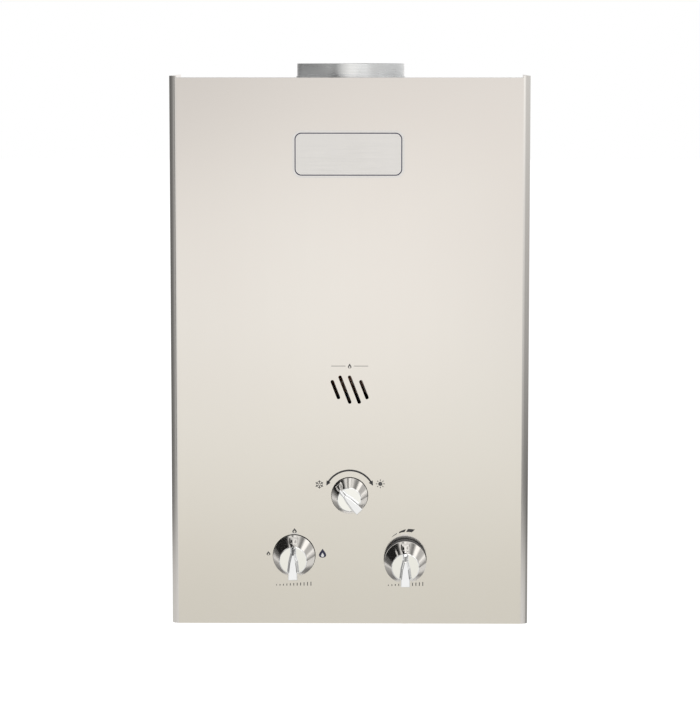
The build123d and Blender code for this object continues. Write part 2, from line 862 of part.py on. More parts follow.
# Burner
def burner_tray():
    """Sheet frame under the chamber with two rails for the blades."""
    tray = duct(tray_z, chamber_z) + flange_ring(chamber_z - chamber_sheet, chamber_z)
    front = inner_front_y + rail_inset
    rear = inner_rear_y - rail_inset
    tray += block(-chamber_half, chamber_half, front, front + rail_width, tray_z, blade_z)
    tray += block(-chamber_half, chamber_half, rear - rail_width, rear, tray_z, blade_z)
    radius = injector_radius + injector_hole_gap
    y0 = chamber_front_y - cut_overrun
    tray -= [bar_y(radius, y0, inner_front_y + fit_gap, x, venturi_z) for x in blade_xs]
    return tray - flange_holes(chamber_z)


def burner_blades():
    """Slim burners set front to back, each with a mouth for its jet and a row of flame ports."""
    wide = blade_width / 2
    neck = blade_neck_width / 2
    shoulder_z = blade_height * blade_shoulder_share
    neck_z = blade_height * blade_neck_share
    half = [(wide, 0), (wide, shoulder_z), (neck, neck_z), (neck, blade_height)]
    outline = half + [(-x, z) for x, z in reversed(half)]
    depth = blade_rear_y - blade_front_y
    blade = extrude(Plane.XZ * make_face(Polyline(*outline, close=True)), amount=-depth)
    blade = Pos(0, blade_front_y, blade_z) * blade
    count = int((depth - blade_port_pitch) / blade_port_pitch)
    middle_y = (blade_front_y + blade_rear_y) / 2
    ports = []
    for i in range(count):
        y = middle_y + (i - (count - 1) / 2) * blade_port_pitch
        y0 = y - blade_port_width / 2
        z0 = blade_top_z - blade_port_depth
        ports.append(block(-wide, wide, y0, y0 + blade_port_width, z0, blade_top_z + cut_overrun))
    mouth_y = blade_front_y + venturi_depth
    mouth = bar_y(venturi_radius, blade_front_y - cut_overrun, mouth_y, 0, venturi_z)
    blade = blade - ports - mouth
    return Compound(children=[Pos(x, 0, 0) * blade for x in blade_xs])


def gas_manifold():
    """Bar across the front of the burner that feeds the jets."""
    top_z = manifold_under_z + manifold_height
    half = chamber_half
    bar = block(-half, half, manifold_front_y, manifold_rear_y, manifold_under_z, top_z)
    y = (manifold_front_y + manifold_rear_y) / 2
    end_x = max(blade_xs) + injector_radius
    bar -= bar_x(manifold_bore, -half - cut_overrun, end_x, y, venturi_z)
    bar -= bar_x(manifold_plug_radius, -half - cut_overrun, -half + manifold_plug_length, y, venturi_z)
    bar -= bar_z(elbow_bore, manifold_under_z - cut_overrun, venturi_z, 0, y)
    seat = injector_radius + fit_gap
    y0 = manifold_rear_y - injector_root
    y1 = manifold_rear_y + cut_overrun
    return bar - [bar_y(seat, y0, y1, x, venturi_z) for x in blade_xs]


def manifold_plug():
    """Plug in the manifold's left end."""
    y = (manifold_front_y + manifold_rear_y) / 2
    x = -chamber_half
    return bar_x(manifold_plug_radius - fit_gap, x, x + manifold_plug_length, y, venturi_z)


def manifold_lugs():
    """Blocks that hold the manifold off the burner tray."""
    lugs = []
    for side in (-1, 1):
        x0 = side * chamber_half
        z0 = manifold_under_z
        x1 = x0 - side * manifold_lug_width
        lugs.append(block(x0, x1, manifold_rear_y, chamber_front_y, z0, z0 + manifold_height))
    return Compound(children=lugs)


def injectors():
    """Brass jets screwed into the manifold, one for each blade."""
    base = Pos(0, 0, -injector_root / 2) * Cylinder(injector_radius, injector_root)
    nose = Cone(injector_radius, injector_tip_radius, injector_length)
    jet = Rot(-90, 0, 0) * (base + Pos(0, 0, injector_length / 2) * nose)
    return Compound(children=[Pos(x, manifold_rear_y, venturi_z) * jet for x in blade_xs])


def gas_elbow():
    """Cast angle that carries the gas from the season valve forward and up to the manifold."""
    half = elbow_width / 2
    rear_y = valve_front_y + elbow_run
    top_z = season_top_z + elbow_height
    arm_z = season_z + season_knob_radius + elbow_knob_gap
    angle = block(-half, half, valve_front_y, rear_y, season_top_z, top_z)
    angle += block(-half, half, manifold_front_y, rear_y, arm_z, top_z)
    angle += block(-half, half, manifold_front_y, manifold_rear_y, arm_z, manifold_under_z)
    y = (manifold_front_y + manifold_rear_y) / 2
    middle_z = (arm_z + top_z) / 2
    port_y = rear_y - elbow_run / 2
    angle -= bar_z(elbow_bore, middle_z, manifold_under_z + cut_overrun, 0, y)
    angle -= bar_y(elbow_bore, y, port_y, 0, middle_z)
    return angle - bar_z(elbow_bore, season_top_z - cut_overrun, middle_z, 0, port_y)


# Gas and water valves
def valve_block(x, z, spindle_z, width, height, depth):
    """A cast body behind the panel with the spindle's bore in its front."""
    y1 = valve_front_y + depth
    body = block(x - width / 2, x + width / 2, valve_front_y, y1, z - height / 2, z + height / 2)
    body = fillet(body.edges().filter_by(Axis.Y), valve_edge_round)
    seat_y = valve_front_y + spindle_seat
    return body - bar_y(spindle_radius + running_gap, valve_front_y - cut_overrun, seat_y, x, spindle_z)


def gas_valve_body():
    """Gas valve, fed from below, with the link rod's bore in its right side."""
    body = valve_block(gas_x, knob_row_z, knob_row_z, gas_valve_width, gas_valve_height, valve_depth)
    x0 = gas_right_x - rod_seat - rod_travel - rod_end_gap
    body -= bar_x(rod_radius + running_gap, x0, gas_right_x + cut_overrun, rod_y, knob_row_z)
    body -= bar_z(nipple_bore, gas_under_z - cut_overrun, gas_under_z + port_depth, gas_x, nipple_y)
    z0 = gas_top_z - port_depth
    return body - bar_z(tube_radius - tube_wall, z0, gas_top_z + cut_overrun, gas_x, rod_y)


def safety_solenoid():
    """Coil on the gas valve's left side."""
    x0 = gas_x - gas_valve_width / 2
    x1 = x0 - solenoid_length
    coil = bar_x(solenoid_radius, x0, x1, rod_y, knob_row_z)
    return coil + bar_x(solenoid_cap_radius, x1, x1 - solenoid_cap_length, rod_y, knob_row_z)


def season_valve_body():
    """Valve that opens the whole burner or part of it."""
    body = valve_block(0, season_z, season_z, season_valve_width, season_valve_height, season_valve_depth)
    left_x = -season_valve_width / 2
    port_y = valve_front_y + elbow_run / 2
    body -= bar_z(elbow_bore, season_z + spindle_radius, season_top_z + cut_overrun, 0, port_y)
    port = tube_radius - tube_wall
    return body - bar_x(port, left_x - cut_overrun, left_x + port_depth, rod_y, season_z)


def gas_link_pipe():
    """Gas from the gas valve's top across to the season valve."""
    start = (gas_x, rod_y, gas_top_z)
    corner = (gas_x, rod_y, season_z)
    end = (-season_valve_width / 2, rod_y, season_z)
    return pipe([start, corner, end], pipe_bend_radius, tube_radius, tube_wall)


def housing_screw_places():
    circle = housing_screw_circle
    turns = [radians(360 / housing_screw_count * (i + 0.5)) for i in range(housing_screw_count)]
    return [(rod_y + circle * cos(turn), knob_row_z + circle * sin(turn)) for turn in turns]


def housing_screw_cuts(x0, x1):
    return [bar_x(housing_screw_radius + fit_gap, x0, x1, y, z) for y, z in housing_screw_places()]


def water_valve_body():
    """Water valve with the diaphragm's flange on its left side."""
    body = valve_block(water_x, knob_row_z, water_z, water_valve_width, water_valve_height, valve_depth)
    body += bar_x(diaphragm_radius, diaphragm_right_x, water_left_x, rod_y, knob_row_z)
    low_z = water_under_z - cut_overrun
    high_z = water_top_z + cut_overrun
    body -= bar_z(nipple_bore, low_z, water_under_z + port_depth, water_x, nipple_y)
    body -= bar_z(tube_radius - tube_wall, water_top_z - port_depth, high_z, water_x, rod_y)
    body -= bar_z(drain_radius + running_gap, low_z, water_under_z + drain_seat, water_x, drain_y)
    x0 = diaphragm_right_x - cut_overrun
    return body - housing_screw_cuts(x0, diaphragm_right_x + housing_screw_seat)


def diaphragm():
    """Rubber disc clamped between the water valve and its cover."""
    disc = bar_x(diaphragm_radius, diaphragm_left_x, diaphragm_right_x, rod_y, knob_row_z)
    return disc - housing_screw_cuts(diaphragm_left_x - cut_overrun, diaphragm_right_x + cut_overrun)


def diaphragm_cover():
    """Dished cover that guides the push rod."""
    cover = bar_x(diaphragm_radius, cover_left_x, diaphragm_left_x, rod_y, knob_row_z)
    cover += bar_x(cover_boss_radius, boss_left_x, cover_left_x, rod_y, knob_row_z)
    x0 = diaphragm_left_x - disc_depth
    x1 = diaphragm_left_x + cut_overrun
    cover -= bar_x(disc_radius + disc_side_gap, x0, x1, rod_y, knob_row_z)
    cover -= bar_x(rod_radius + running_gap, boss_left_x - cut_overrun, x1, rod_y, knob_row_z)
    return cover - housing_screw_cuts(cover_left_x - cut_overrun, x1)


def diaphragm_screws():
    """Ring of screws through the cover and the diaphragm."""
    screws = []
    head_x = cover_left_x - housing_screw_head_height
    tip_x = diaphragm_right_x + housing_screw_seat
    for y, z in housing_screw_places():
        head = bar_x(housing_screw_head_radius, head_x, cover_left_x, y, z)
        screws.append(head + bar_x(housing_screw_radius, cover_left_x, tip_x, y, z))
    return Compound(children=screws)


def diaphragm_disc():
    """Plate on the rod's end that the diaphragm pushes."""
    return bar_x(disc_radius, disc_left_x, disc_right_x, rod_y, knob_row_z)


def push_rod():
    """Rod from the diaphragm to the gas valve, with a flange that trips the microswitch."""
    rod = bar_x(rod_radius, gas_right_x - rod_seat, disc_left_x, rod_y, knob_row_z)
    return rod + bar_x(rod_flange_radius, rod_flange_left_x, rod_flange_right_x, rod_y, knob_row_z)


def microswitch():
    """Switch body with two ears that hold the lever's trunnions."""
    inner = lever_width / 2 + slip_gap
    outer = inner + switch_ear
    x0 = switch_left_x
    body = block(x0, x0 + switch_length, rod_y - outer, rod_y + outer, switch_under_z, switch_top_z)
    slot_z = lever_z - lever_barrel_radius - slip_gap
    x1 = x0 + switch_length + cut_overrun
    body -= block(x0 - cut_overrun, x1, rod_y - inner, rod_y + inner, slot_z, switch_top_z + cut_overrun)
    reach = lever_width / 2 + trunnion_length + slip_gap
    return body - bar_y(trunnion_radius + running_gap, rod_y - reach, rod_y + reach, lever_x, lever_z)


def microswitch_lever():
    """Upright blade on two trunnions, just beside the rod's flange."""
    half = lever_width / 2
    top_z = knob_row_z - rod_radius - lever_rod_gap
    thick = lever_sheet / 2
    lever = block(lever_x - thick, lever_x + thick, rod_y - half, rod_y + half, lever_z, top_z)
    lever += bar_y(lever_barrel_radius, rod_y - half, rod_y + half, lever_x, lever_z)
    reach = half + trunnion_length
    return lever + bar_y(trunnion_radius, rod_y - reach, rod_y + reach, lever_x, lever_z)


def microswitch_bracket():
    """Channel that stands on the bottom plate and carries the switch."""
    half = lever_width / 2 + slip_gap + switch_ear
    x0 = switch_left_x
    x1 = x0 + switch_length
    y0 = rod_y - half
    y1 = rod_y + half
    web = block(x0, x0 + bracket_sheet, y0, y1, bottom_top_z, switch_under_z)
    web += block(x0, x1, y0, y1, bottom_top_z, bottom_top_z + bracket_sheet)
    return web + block(x0, x1, y0, y1, switch_under_z - bracket_sheet, switch_under_z)


# Nipples and drain plug
def nipple(x, top_z):
    """Threaded spigot through the bottom plate with a hexagon above it."""
    low_z = nipple_low_z
    spigot = bar_z(nipple_radius, low_z, nipple_nut_z, x, nipple_y)
    spigot += bar_z(nipple_shank_radius, nipple_nut_z, top_z, x, nipple_y)
    spigot += Pos(x, nipple_y, bottom_top_z) * hex_prism(nipple_hex_across, nipple_hex_height)
    return spigot - bar_z(nipple_bore, low_z - cut_overrun, top_z + cut_overrun, x, nipple_y)


def gas_inlet_nipple():
    """Gas nipple, up to the gas valve's underside."""
    return nipple(gas_x, gas_under_z)


def cold_inlet_nipple():
    """Cold nipple, up to the water valve's underside."""
    return nipple(water_x, water_under_z)


def hot_outlet_nipple():
    """Hot nipple, its bore stepped to seat the end of the outlet pipe."""
    spigot = nipple(-hot_outlet_x, hot_top_z)
    step_z = hot_top_z - nipple_stem / 2
    cap = bar_z(nipple_shank_radius, step_z, hot_top_z, -hot_outlet_x, nipple_y)
    cap -= bar_z(tube_radius - tube_wall, nipple_low_z, hot_top_z + cut_overrun, -hot_outlet_x, nipple_y)
    return spigot + cap


def nipple_nuts():
    """Lock nuts under the bottom plate."""
    nut = hex_prism(nipple_nut_across, nipple_nut_height)
    nut -= bar_z(nipple_shank_radius + fit_gap, -cut_overrun, nipple_nut_height + cut_overrun, 0, 0)
    xs = (-hot_outlet_x, gas_x, water_x)
    return Compound(children=[Pos(x, nipple_y, nipple_nut_z) * nut for x in xs])


def drain_plug():
    """Plug in the water valve's underside, turned by hand from below the casing."""
    top_z = water_under_z + drain_seat - spindle_end_gap
    plug = bar_z(drain_radius, drain_head_top_z, top_z, water_x, drain_y)
    plug += bar_z(drain_stem_radius, drain_head_top_z, water_under_z - slip_gap, water_x, drain_y)
    head = hex_prism(drain_head_across, drain_head_height)
    return plug + Pos(water_x, drain_y, drain_head_top_z - drain_head_height) * head


# Knobs and spindles
def d_bar(radius, flat, length):
    """A round bar along Z with one flat, facing up in the knob's plan."""
    bar = extrude(Circle(radius), amount=length)
    y0 = radius - flat
    return bar - block(-radius, radius, y0, y0 + cut_overrun, -cut_overrun, length + cut_overrun)


def grip_plan(radius, spread):
    """A knob grip's plan: a thin ridge at the top that swells to shoulders and a blunt end past the face."""
    thin = radius * grip_thin_share + spread
    half = [
        (radius * grip_wide_share + spread, -radius * grip_end_share),
        (radius * grip_shoulder_wide_share + spread, -radius * grip_shoulder_share),
        (radius * grip_middle_wide_share + spread, 0),
        (thin, radius * grip_waist_share),
        (thin, radius * grip_top_share),
    ]
    return make_face(Polyline(*half, *[(-x, y) for x, y in reversed(half)], close=True))


def grip(radius, height):
    """Wedge grip of a knob, its sides drafted and its crest highest near the middle."""
    end = -radius * grip_end_share
    waist = radius * grip_waist_share
    top = radius * grip_top_share
    tall = height * grip_peak_height_share
    foot = grip_plan(radius, radius * grip_draft_share)
    crest = Pos(0, 0, tall) * grip_plan(radius, 0)
    side = [
        (end, grip_under),
        (end, height * grip_end_height_share),
        (waist, tall),
        (top, height * grip_tail_height_share),
        (top, grip_under),
    ]
    profile = extrude(Plane.YZ * make_face(Polyline(*side, close=True)), amount=radius, both=True)
    wedge = loft([foot, crest], ruled=True) & profile
    broad = wedge.faces().sort_by(Axis.Z)[-1]
    thin = radius * grip_thin_share
    wedge = chamfer(broad.edges().filter_by(lambda edge: abs(edge.center().X) > thin), grip_crest_bevel)
    return fillet(wedge.edges().group_by(Axis.Y)[0], grip_end_round)


def knob(radius, height, skirt):
    """Hollow tapered knob, its rim at the origin and its face towards +Z."""
    face = radius * knob_face_share
    body = Pos(0, 0, -knob_skirt / 2) * Cylinder(skirt, knob_skirt)
    body += Pos(0, 0, -knob_band / 2) * Cylinder(radius, knob_band)
    body += Pos(0, 0, height / 2) * Cone(radius, face, height)
    rings = body.edges().filter_by(GeomType.CIRCLE).group_by(Axis.Z)
    body = fillet(rings[-2], knob_rim_round)
    rings = body.edges().filter_by(GeomType.CIRCLE).group_by(Axis.Z)
    body = fillet(rings[-1], knob_face_round)
    body += grip(radius, height)
    hollow = Cylinder(skirt - knob_wall, knob_skirt) - Cylinder(knob_hub_radius, knob_skirt)
    body -= Pos(0, 0, -knob_skirt / 2 - knob_floor) * hollow
    socket = spindle_reach + spindle_end_gap
    return body - Pos(0, 0, -knob_skirt) * d_bar(spindle_radius + fit_gap, spindle_flat, socket)


def on_panel(x, z, stand, turn):
    """Place of a knob's rim before the panel, turned clockwise as seen from the front."""
    return Pos(x, front_y - stand, z) * Rot(90, 0, 0) * Rot(0, 0, -turn)


def gas_knob():
    place = on_panel(gas_x, knob_row_z, knob_stand, 0)
    return place * knob(knob_radius, knob_cone_height, knob_radius)


def water_knob():
    place = on_panel(water_x, water_z, water_knob_stand, 0)
    return place * knob(knob_radius, knob_cone_height, sleeve_radius - fit_gap)


def water_sleeve():
    """Sleeve on the water knob's skirt that reaches back through the panel's hole."""
    rear_y = front_y + sleeve_reach
    tube = bar_y(knob_radius, sleeve_front_y, rear_y, water_x, water_z)
    y0 = sleeve_front_y - cut_overrun
    return tube - bar_y(sleeve_radius, y0, rear_y + cut_overrun, water_x, water_z)


def season_knob():
    place = on_panel(0, season_z, knob_stand, -season_rest_turn)
    return place * knob(season_knob_radius, season_cone_height, season_knob_radius)


def spindle(x, z, stand, turn):
    """Bar from the valve's seat into the knob, with a flat where the knob holds it."""
    knob_y = front_y - stand + knob_skirt
    inner_y = valve_front_y + spindle_seat - spindle_end_gap
    round_bar = bar_y(spindle_radius, knob_y, inner_y, x, z)
    held = d_bar(spindle_radius, spindle_flat + fit_gap, spindle_reach)
    return round_bar + on_panel(x, z, stand - knob_skirt, turn) * held


def gas_spindle():
    return spindle(gas_x, knob_row_z, knob_stand, 0)


def water_spindle():
    return spindle(water_x, water_z, water_knob_stand, 0)


def season_spindle():
    return spindle(0, season_z, knob_stand, -season_rest_turn)


def spindle_glands():
    """Gland nuts on the fronts of the three valves."""
    nut = hex_prism(gland_across, gland_length)
    nut -= bar_z(spindle_radius + running_gap, -cut_overrun, gland_length + cut_overrun, 0, 0)
    facing = Rot(90, 0, 0) * nut
    places = [(gas_x, knob_row_z), (water_x, water_z), (0, season_z)]
    return Compound(children=[Pos(x, valve_front_y, z) * facing for x, z in places])


# Ignition
def electrode_ceramic(x):
    """Ceramic sleeve through the chamber's front wall."""
    y0 = chamber_front_y - ceramic_out
    sleeve = bar_y(ceramic_radius, y0, inner_front_y + ceramic_in, x, electrode_z)
    flange_y = chamber_front_y - ceramic_flange_thickness
    sleeve += bar_y(ceramic_flange_radius, flange_y, chamber_front_y, x, electrode_z)
    y1 = inner_front_y + ceramic_in + cut_overrun
    return sleeve - bar_y(pin_radius + fit_gap, y0 - cut_overrun, y1, x, electrode_z)


def ignition_electrode():
    return electrode_ceramic(electrode_x)


def flame_probe():
    return electrode_ceramic(-electrode_x)


def electrode_pins():
    """Metal pins of the ignition electrode and the flame probe."""
    y0 = chamber_front_y - ceramic_out - pin_out
    y1 = inner_front_y + ceramic_in + pin_in
    xs = (-electrode_x, electrode_x)
    return Compound(children=[bar_y(pin_radius, y0, y1, x, electrode_z) for x in xs])


def ignition_box():
    """Spark and control module on the back plate."""
    half = ignition_box_width / 2
    y0 = back_y - ignition_box_depth
    z1 = ignition_z + ignition_box_height
    box = block(ignition_x - half, ignition_x + half, y0, back_y, ignition_z, z1)
    box = fillet(box.edges().group_by(Axis.Y)[0], ignition_edge_round)
    foot_y = back_y - ignition_foot_sheet
    for side in (-1, 1):
        x0 = ignition_x + side * half
        x1 = x0 + side * ignition_foot
        z0 = ignition_z + ignition_box_height / 2 - ignition_foot
        box += block(x0, x1, foot_y, back_y, z0, z0 + 2 * ignition_foot)
    return box


# Battery box
def battery_box():
    """Open-bottomed box on the casing's floor, with two ears for the lid's hinge."""
    x0 = battery_x - battery_inner_half
    x1 = battery_x + battery_inner_half
    y0 = battery_inner_front_y
    y1 = battery_inner_rear_y
    wall = battery_wall
    box = block(x0 - wall, x1 + wall, battery_front_y, battery_rear_y, bottom_top_z, battery_top_z)
    edge = wall + battery_flange
    rim_z = bottom_top_z + battery_flange_sheet
    ear_rear_y = y1 + hinge_ear_depth
    box += block(x0 - edge, x1 + edge, y0 - edge, ear_rear_y, bottom_top_z, rim_z)
    box -= block(x0, x1, y0, y1, bottom_top_z - cut_overrun, battery_inner_top_z)
    for ear_x in (x0, x1 - hinge_ear_width):
        ear_x1 = ear_x + hinge_ear_width
        box += block(ear_x, ear_x1, y1, ear_rear_y, hinge_z - hinge_barrel_radius, rim_z)
        bore = hinge_pin_radius + running_gap
        box -= bar_x(bore, ear_x - cut_overrun, ear_x1 + cut_overrun, hinge_y, hinge_z)
    return box


def lid_hinge_pin():
    """Pin through the ears and the lid's barrel."""
    x0 = battery_x - battery_inner_half
    return bar_x(hinge_pin_radius, x0, battery_x + battery_inner_half, hinge_y, hinge_z)


def battery_lid():
    """Flat lid below the floor, hinged at the rear, with a catch tab at each front corner."""
    x0 = battery_x - battery_inner_half
    x1 = battery_x + battery_inner_half
    y1 = battery_inner_rear_y - lid_rear_gap
    y0 = battery_inner_front_y - lid_overlap
    under_z = lid_top_z - lid_sheet
    lid = block(x0 - lid_overlap, x1 + lid_overlap, y0, y1, under_z, lid_top_z)
    barrel_x0 = x0 + hinge_ear_width + slip_gap
    barrel_x1 = x1 - hinge_ear_width - slip_gap
    lid += block(barrel_x0, barrel_x1, y1, hinge_y, under_z, lid_top_z)
    lid += bar_x(hinge_barrel_radius, barrel_x0, barrel_x1, hinge_y, hinge_z)
    tab_y = battery_inner_front_y + lid_tab_gap
    tab_z = lid_top_z + lid_tab_height
    for side in (-1, 1):
        tab_x = battery_x + side * (battery_inner_half - lid_tab_gap)
        tab_x1 = tab_x - side * lid_tab_width
        lid += block(tab_x, tab_x1, tab_y, tab_y + lid_tab_sheet, lid_top_z, tab_z)
    bore = hinge_pin_radius + running_gap
    return lid - bar_x(bore, barrel_x0 - cut_overrun, barrel_x1 + cut_overrun, hinge_y, hinge_z)


def batteries():
    """Two round cells, nub up."""
    cells = []
    shoulder_z = cell_z + cell_length
    nub_z = shoulder_z + cell_nub_length
    for y in cell_ys:
        cell = bar_z(cell_radius, cell_z, shoulder_z, battery_x, y)
        cells.append(cell + bar_z(cell_nub_radius, shoulder_z, nub_z, battery_x, y))
    return Compound(children=cells)


def battery_contacts():
    """Sprung strips under the box's roof that the cells press on."""
    half = contact_width / 2
    z0 = battery_inner_top_z - contact_sheet
    strip = block(-half, half, -half, half, z0, battery_inner_top_z)
    return Compound(children=[Pos(battery_x, y, 0) * strip for y in cell_ys])


pieces = {
    "back_plate": back_plate,
    "front_cover": front_cover,
    "top_plate": top_plate,
    "bottom_plate": bottom_plate,
    "cover_screws": cover_screws,
    "plate_rivets": plate_rivets,
    "flue_collar": flue_collar,
    "draft_hood": draft_hood,
    "combustion_chamber": combustion_chamber,
    "sight_pane": sight_pane,
    "flange_screws": flange_screws,
    "chamber_brackets": chamber_brackets,
    "heat_exchanger_fins": heat_exchanger_fins,
    "heat_exchanger_tube": heat_exchanger_tube,
    "inlet_pipe": inlet_pipe,
    "outlet_pipe": outlet_pipe,
    "union_nuts": union_nuts,
    "overheat_thermostat": overheat_thermostat,
    "burner_tray": burner_tray,
    "burner_blades": burner_blades,
    "gas_manifold": gas_manifold,
    "manifold_plug": manifold_plug,
    "manifold_lugs": manifold_lugs,
    "injectors": injectors,
    "gas_elbow": gas_elbow,
    "gas_valve_body": gas_valve_body,
    "safety_solenoid": safety_solenoid,
    "season_valve_body": season_valve_body,
    "gas_link_pipe": gas_link_pipe,
    "water_valve_body": water_valve_body,
    "diaphragm": diaphragm,
    "diaphragm_cover": diaphragm_cover,
    "diaphragm_screws": diaphragm_screws,
    "diaphragm_disc": diaphragm_disc,
    "push_rod": push_rod,
    "microswitch": microswitch,
    "microswitch_lever": microswitch_lever,
    "microswitch_bracket": microswitch_bracket,
    "gas_inlet_nipple": gas_inlet_nipple,
    "cold_inlet_nipple": cold_inlet_nipple,
    "hot_outlet_nipple": hot_outlet_nipple,
    "nipple_nuts": nipple_nuts,
    "drain_plug": drain_plug,
    "gas_knob": gas_knob,
    "water_knob": water_knob,
    "water_sleeve": water_sleeve,
    "season_knob": season_knob,
    "gas_spindle": gas_spindle,
    "water_spindle": water_spindle,
    "season_spindle": season_spindle,
    "spindle_glands": spindle_glands,
    "ignition_electrode": ignition_electrode,
    "flame_probe": flame_probe,
    "electrode_pins": electrode_pins,
    "ignition_box": ignition_box,
    "battery_box": battery_box,
    "battery_lid": battery_lid,
    "lid_hinge_pin": lid_hinge_pin,
    "batteries": batteries,
    "battery_contacts": battery_contacts,
}

os.makedirs("parts", exist_ok=True)
for name, make in pieces.items():
    export_step(make(), f"parts/{name}.step")
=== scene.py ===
# %% [markdown]
# # A wall-hung gas water heater, dressed for the studio
# The heater is a slim box of satin stainless sheet with a round flue collar on its roof, four
# slanted sight slots and three chromed knobs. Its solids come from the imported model. This lesson
# adds what they don't carry: finishes, printed marks, the smallest shapes, light and a camera.

# %% Load the frame
import json

import bmesh
import bpy
import numpy as np
from mathutils import Matrix, Vector


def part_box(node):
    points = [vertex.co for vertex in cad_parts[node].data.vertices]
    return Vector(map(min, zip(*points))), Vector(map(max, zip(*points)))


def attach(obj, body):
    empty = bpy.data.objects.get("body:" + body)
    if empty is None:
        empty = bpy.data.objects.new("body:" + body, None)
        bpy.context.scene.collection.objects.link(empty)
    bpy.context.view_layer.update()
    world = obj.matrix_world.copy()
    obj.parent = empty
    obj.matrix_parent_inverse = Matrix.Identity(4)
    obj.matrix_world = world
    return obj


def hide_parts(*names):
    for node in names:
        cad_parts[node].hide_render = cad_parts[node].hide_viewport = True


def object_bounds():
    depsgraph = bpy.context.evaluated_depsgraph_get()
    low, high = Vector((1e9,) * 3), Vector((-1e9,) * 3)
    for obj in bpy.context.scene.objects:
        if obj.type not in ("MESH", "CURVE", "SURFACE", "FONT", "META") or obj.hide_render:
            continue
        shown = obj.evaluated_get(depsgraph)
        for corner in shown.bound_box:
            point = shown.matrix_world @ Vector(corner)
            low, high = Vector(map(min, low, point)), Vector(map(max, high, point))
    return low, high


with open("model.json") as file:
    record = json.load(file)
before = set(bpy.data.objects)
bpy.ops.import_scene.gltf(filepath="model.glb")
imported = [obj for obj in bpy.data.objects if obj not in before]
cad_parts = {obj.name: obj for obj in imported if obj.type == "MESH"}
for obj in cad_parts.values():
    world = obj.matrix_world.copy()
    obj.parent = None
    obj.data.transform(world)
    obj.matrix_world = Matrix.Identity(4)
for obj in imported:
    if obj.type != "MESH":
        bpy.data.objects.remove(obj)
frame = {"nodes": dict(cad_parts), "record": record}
cad_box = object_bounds()
nodes = frame["nodes"]
scene = bpy.context.scene
MM = 0.001
print("nodes", len(nodes), "box", [list(corner) for corner in cad_box])

# %% [markdown]
# ## The camera
# The photograph was taken with a long lens from a little above the middle of the panel and a
# little to its right. A camera is set by its place, the way it looks and its lens. The picture's
# long side is 703 pixels, and Blender lays the 36 mm sensor along it.

# %% Camera
CAMERA_PLACE = Vector((0.0321, -2.3680, 0.2406))
CAMERA_PITCH = np.radians(6.103)
CAMERA_YAW = np.radians(0.813)
CAMERA_LENS = 142.97
SENSOR_WIDTH = 36.0

lens = bpy.data.cameras.new("photo_camera")
lens.sensor_width = SENSOR_WIDTH
lens.lens = CAMERA_LENS
camera = bpy.data.objects.new("photo_camera", lens)
scene.collection.objects.link(camera)
look = Vector(
    (
        -np.sin(CAMERA_YAW) * np.cos(CAMERA_PITCH),
        np.cos(CAMERA_YAW) * np.cos(CAMERA_PITCH),
        -np.sin(CAMERA_PITCH),
    )
)
camera.location = CAMERA_PLACE
camera.rotation_euler = look.to_track_quat("-Z", "Y").to_euler()
scene.camera = camera
scene.view_settings.view_transform = "Standard"
print("camera looks along", [round(part, 4) for part in look])

# %% [markdown]
# ## Helpers for node trees
# A finish is a small graph of nodes. Written out link by link it soon gets long, so one helper
# adds a node and fills its inputs, each with a value or with the socket that feeds it. Others
# add one step of arithmetic, a change of range, a noise, a colour ramp or a mix of two colours.


# %% Node helpers
def node(tree, kind, inputs=None, **settings):
    """One node with its settings; an input is a plain value, or an output socket to link."""
    made = tree.nodes.new(kind)
    for key, value in settings.items():
        setattr(made, key, value)
    for key, value in (inputs or {}).items():
        if isinstance(value, bpy.types.NodeSocket):
            tree.links.new(value, made.inputs[key])
        else:
            made.inputs[key].default_value = value
    return made


def math_node(tree, operation, first, second=0.0, third=0.0, clamp=False):
    """The output of one Math node."""
    inputs = {0: first, 1: second, 2: third}
    return node(tree, "ShaderNodeMath", inputs, operation=operation, use_clamp=clamp).outputs[0]


def map_range(tree, value, low, high, to_low=0.0, to_high=1.0, kind="LINEAR"):
    """The output of one Map Range node."""
    inputs = {0: value, 1: low, 2: high, 3: to_low, 4: to_high}
    return node(tree, "ShaderNodeMapRange", inputs, interpolation_type=kind).outputs[0]


def noise(tree, spot, scale, detail, roughness=0.5):
    """The level of one Noise texture."""
    inputs = {"Vector": spot, "Scale": scale, "Detail": detail, "Roughness": roughness}
    return node(tree, "ShaderNodeTexNoise", inputs).outputs[0]


def ramp(tree, factor, stops):
    """The colour output of a straight ramp through (place, colour) stops."""
    made = node(tree, "ShaderNodeValToRGB", {0: factor})
    made.color_ramp.interpolation = "LINEAR"
    elements = made.color_ramp.elements
    while len(elements) < len(stops):
        elements.new(1.0)
    for element, (place, color) in zip(elements, stops):
        element.position = place
        element.color = (*color, 1.0)
    return made.outputs[0]


def blend_colors(tree, factor, first, second, mode="MIX"):
    """The mix of two colours or colour sockets: inputs 6 and 7 and output 2 of a Mix node."""
    made = node(tree, "ShaderNodeMix", {0: factor}, data_type="RGBA", blend_type=mode)
    for place, color in ((6, first), (7, second)):
        if isinstance(color, bpy.types.NodeSocket):
            tree.links.new(color, made.inputs[place])
        else:
            made.inputs[place].default_value = (*color, 1.0)
    return made.outputs[2]


def grey(level):
    """A colour of one level in all three channels."""
    return (level, level, level)


print("helpers: node, math_node, map_range, noise, ramp, blend_colors, grey")

# %% [markdown]
# ## The studio
# Polished metal shows the room more than it shows itself. Where the panel's reflection is bright,
# there was a bright wall; where a knob shows a black patch, there was a dark doorway. A world that
# depends on the ray's direction gives this without any lamp. Azimuth is measured from the front,
# positive to the right, and height is the ray's angle above the horizon, both in degrees. The
# first ramp is the bright front of the room, from the floor up to a dark ceiling. Two more ramps,
# by azimuth, shade it a little towards its sides: one for its low part and one for its upper part.

# %% Room: directions and front
LOW_PART = -7.5
UPPER_PART = -2.2

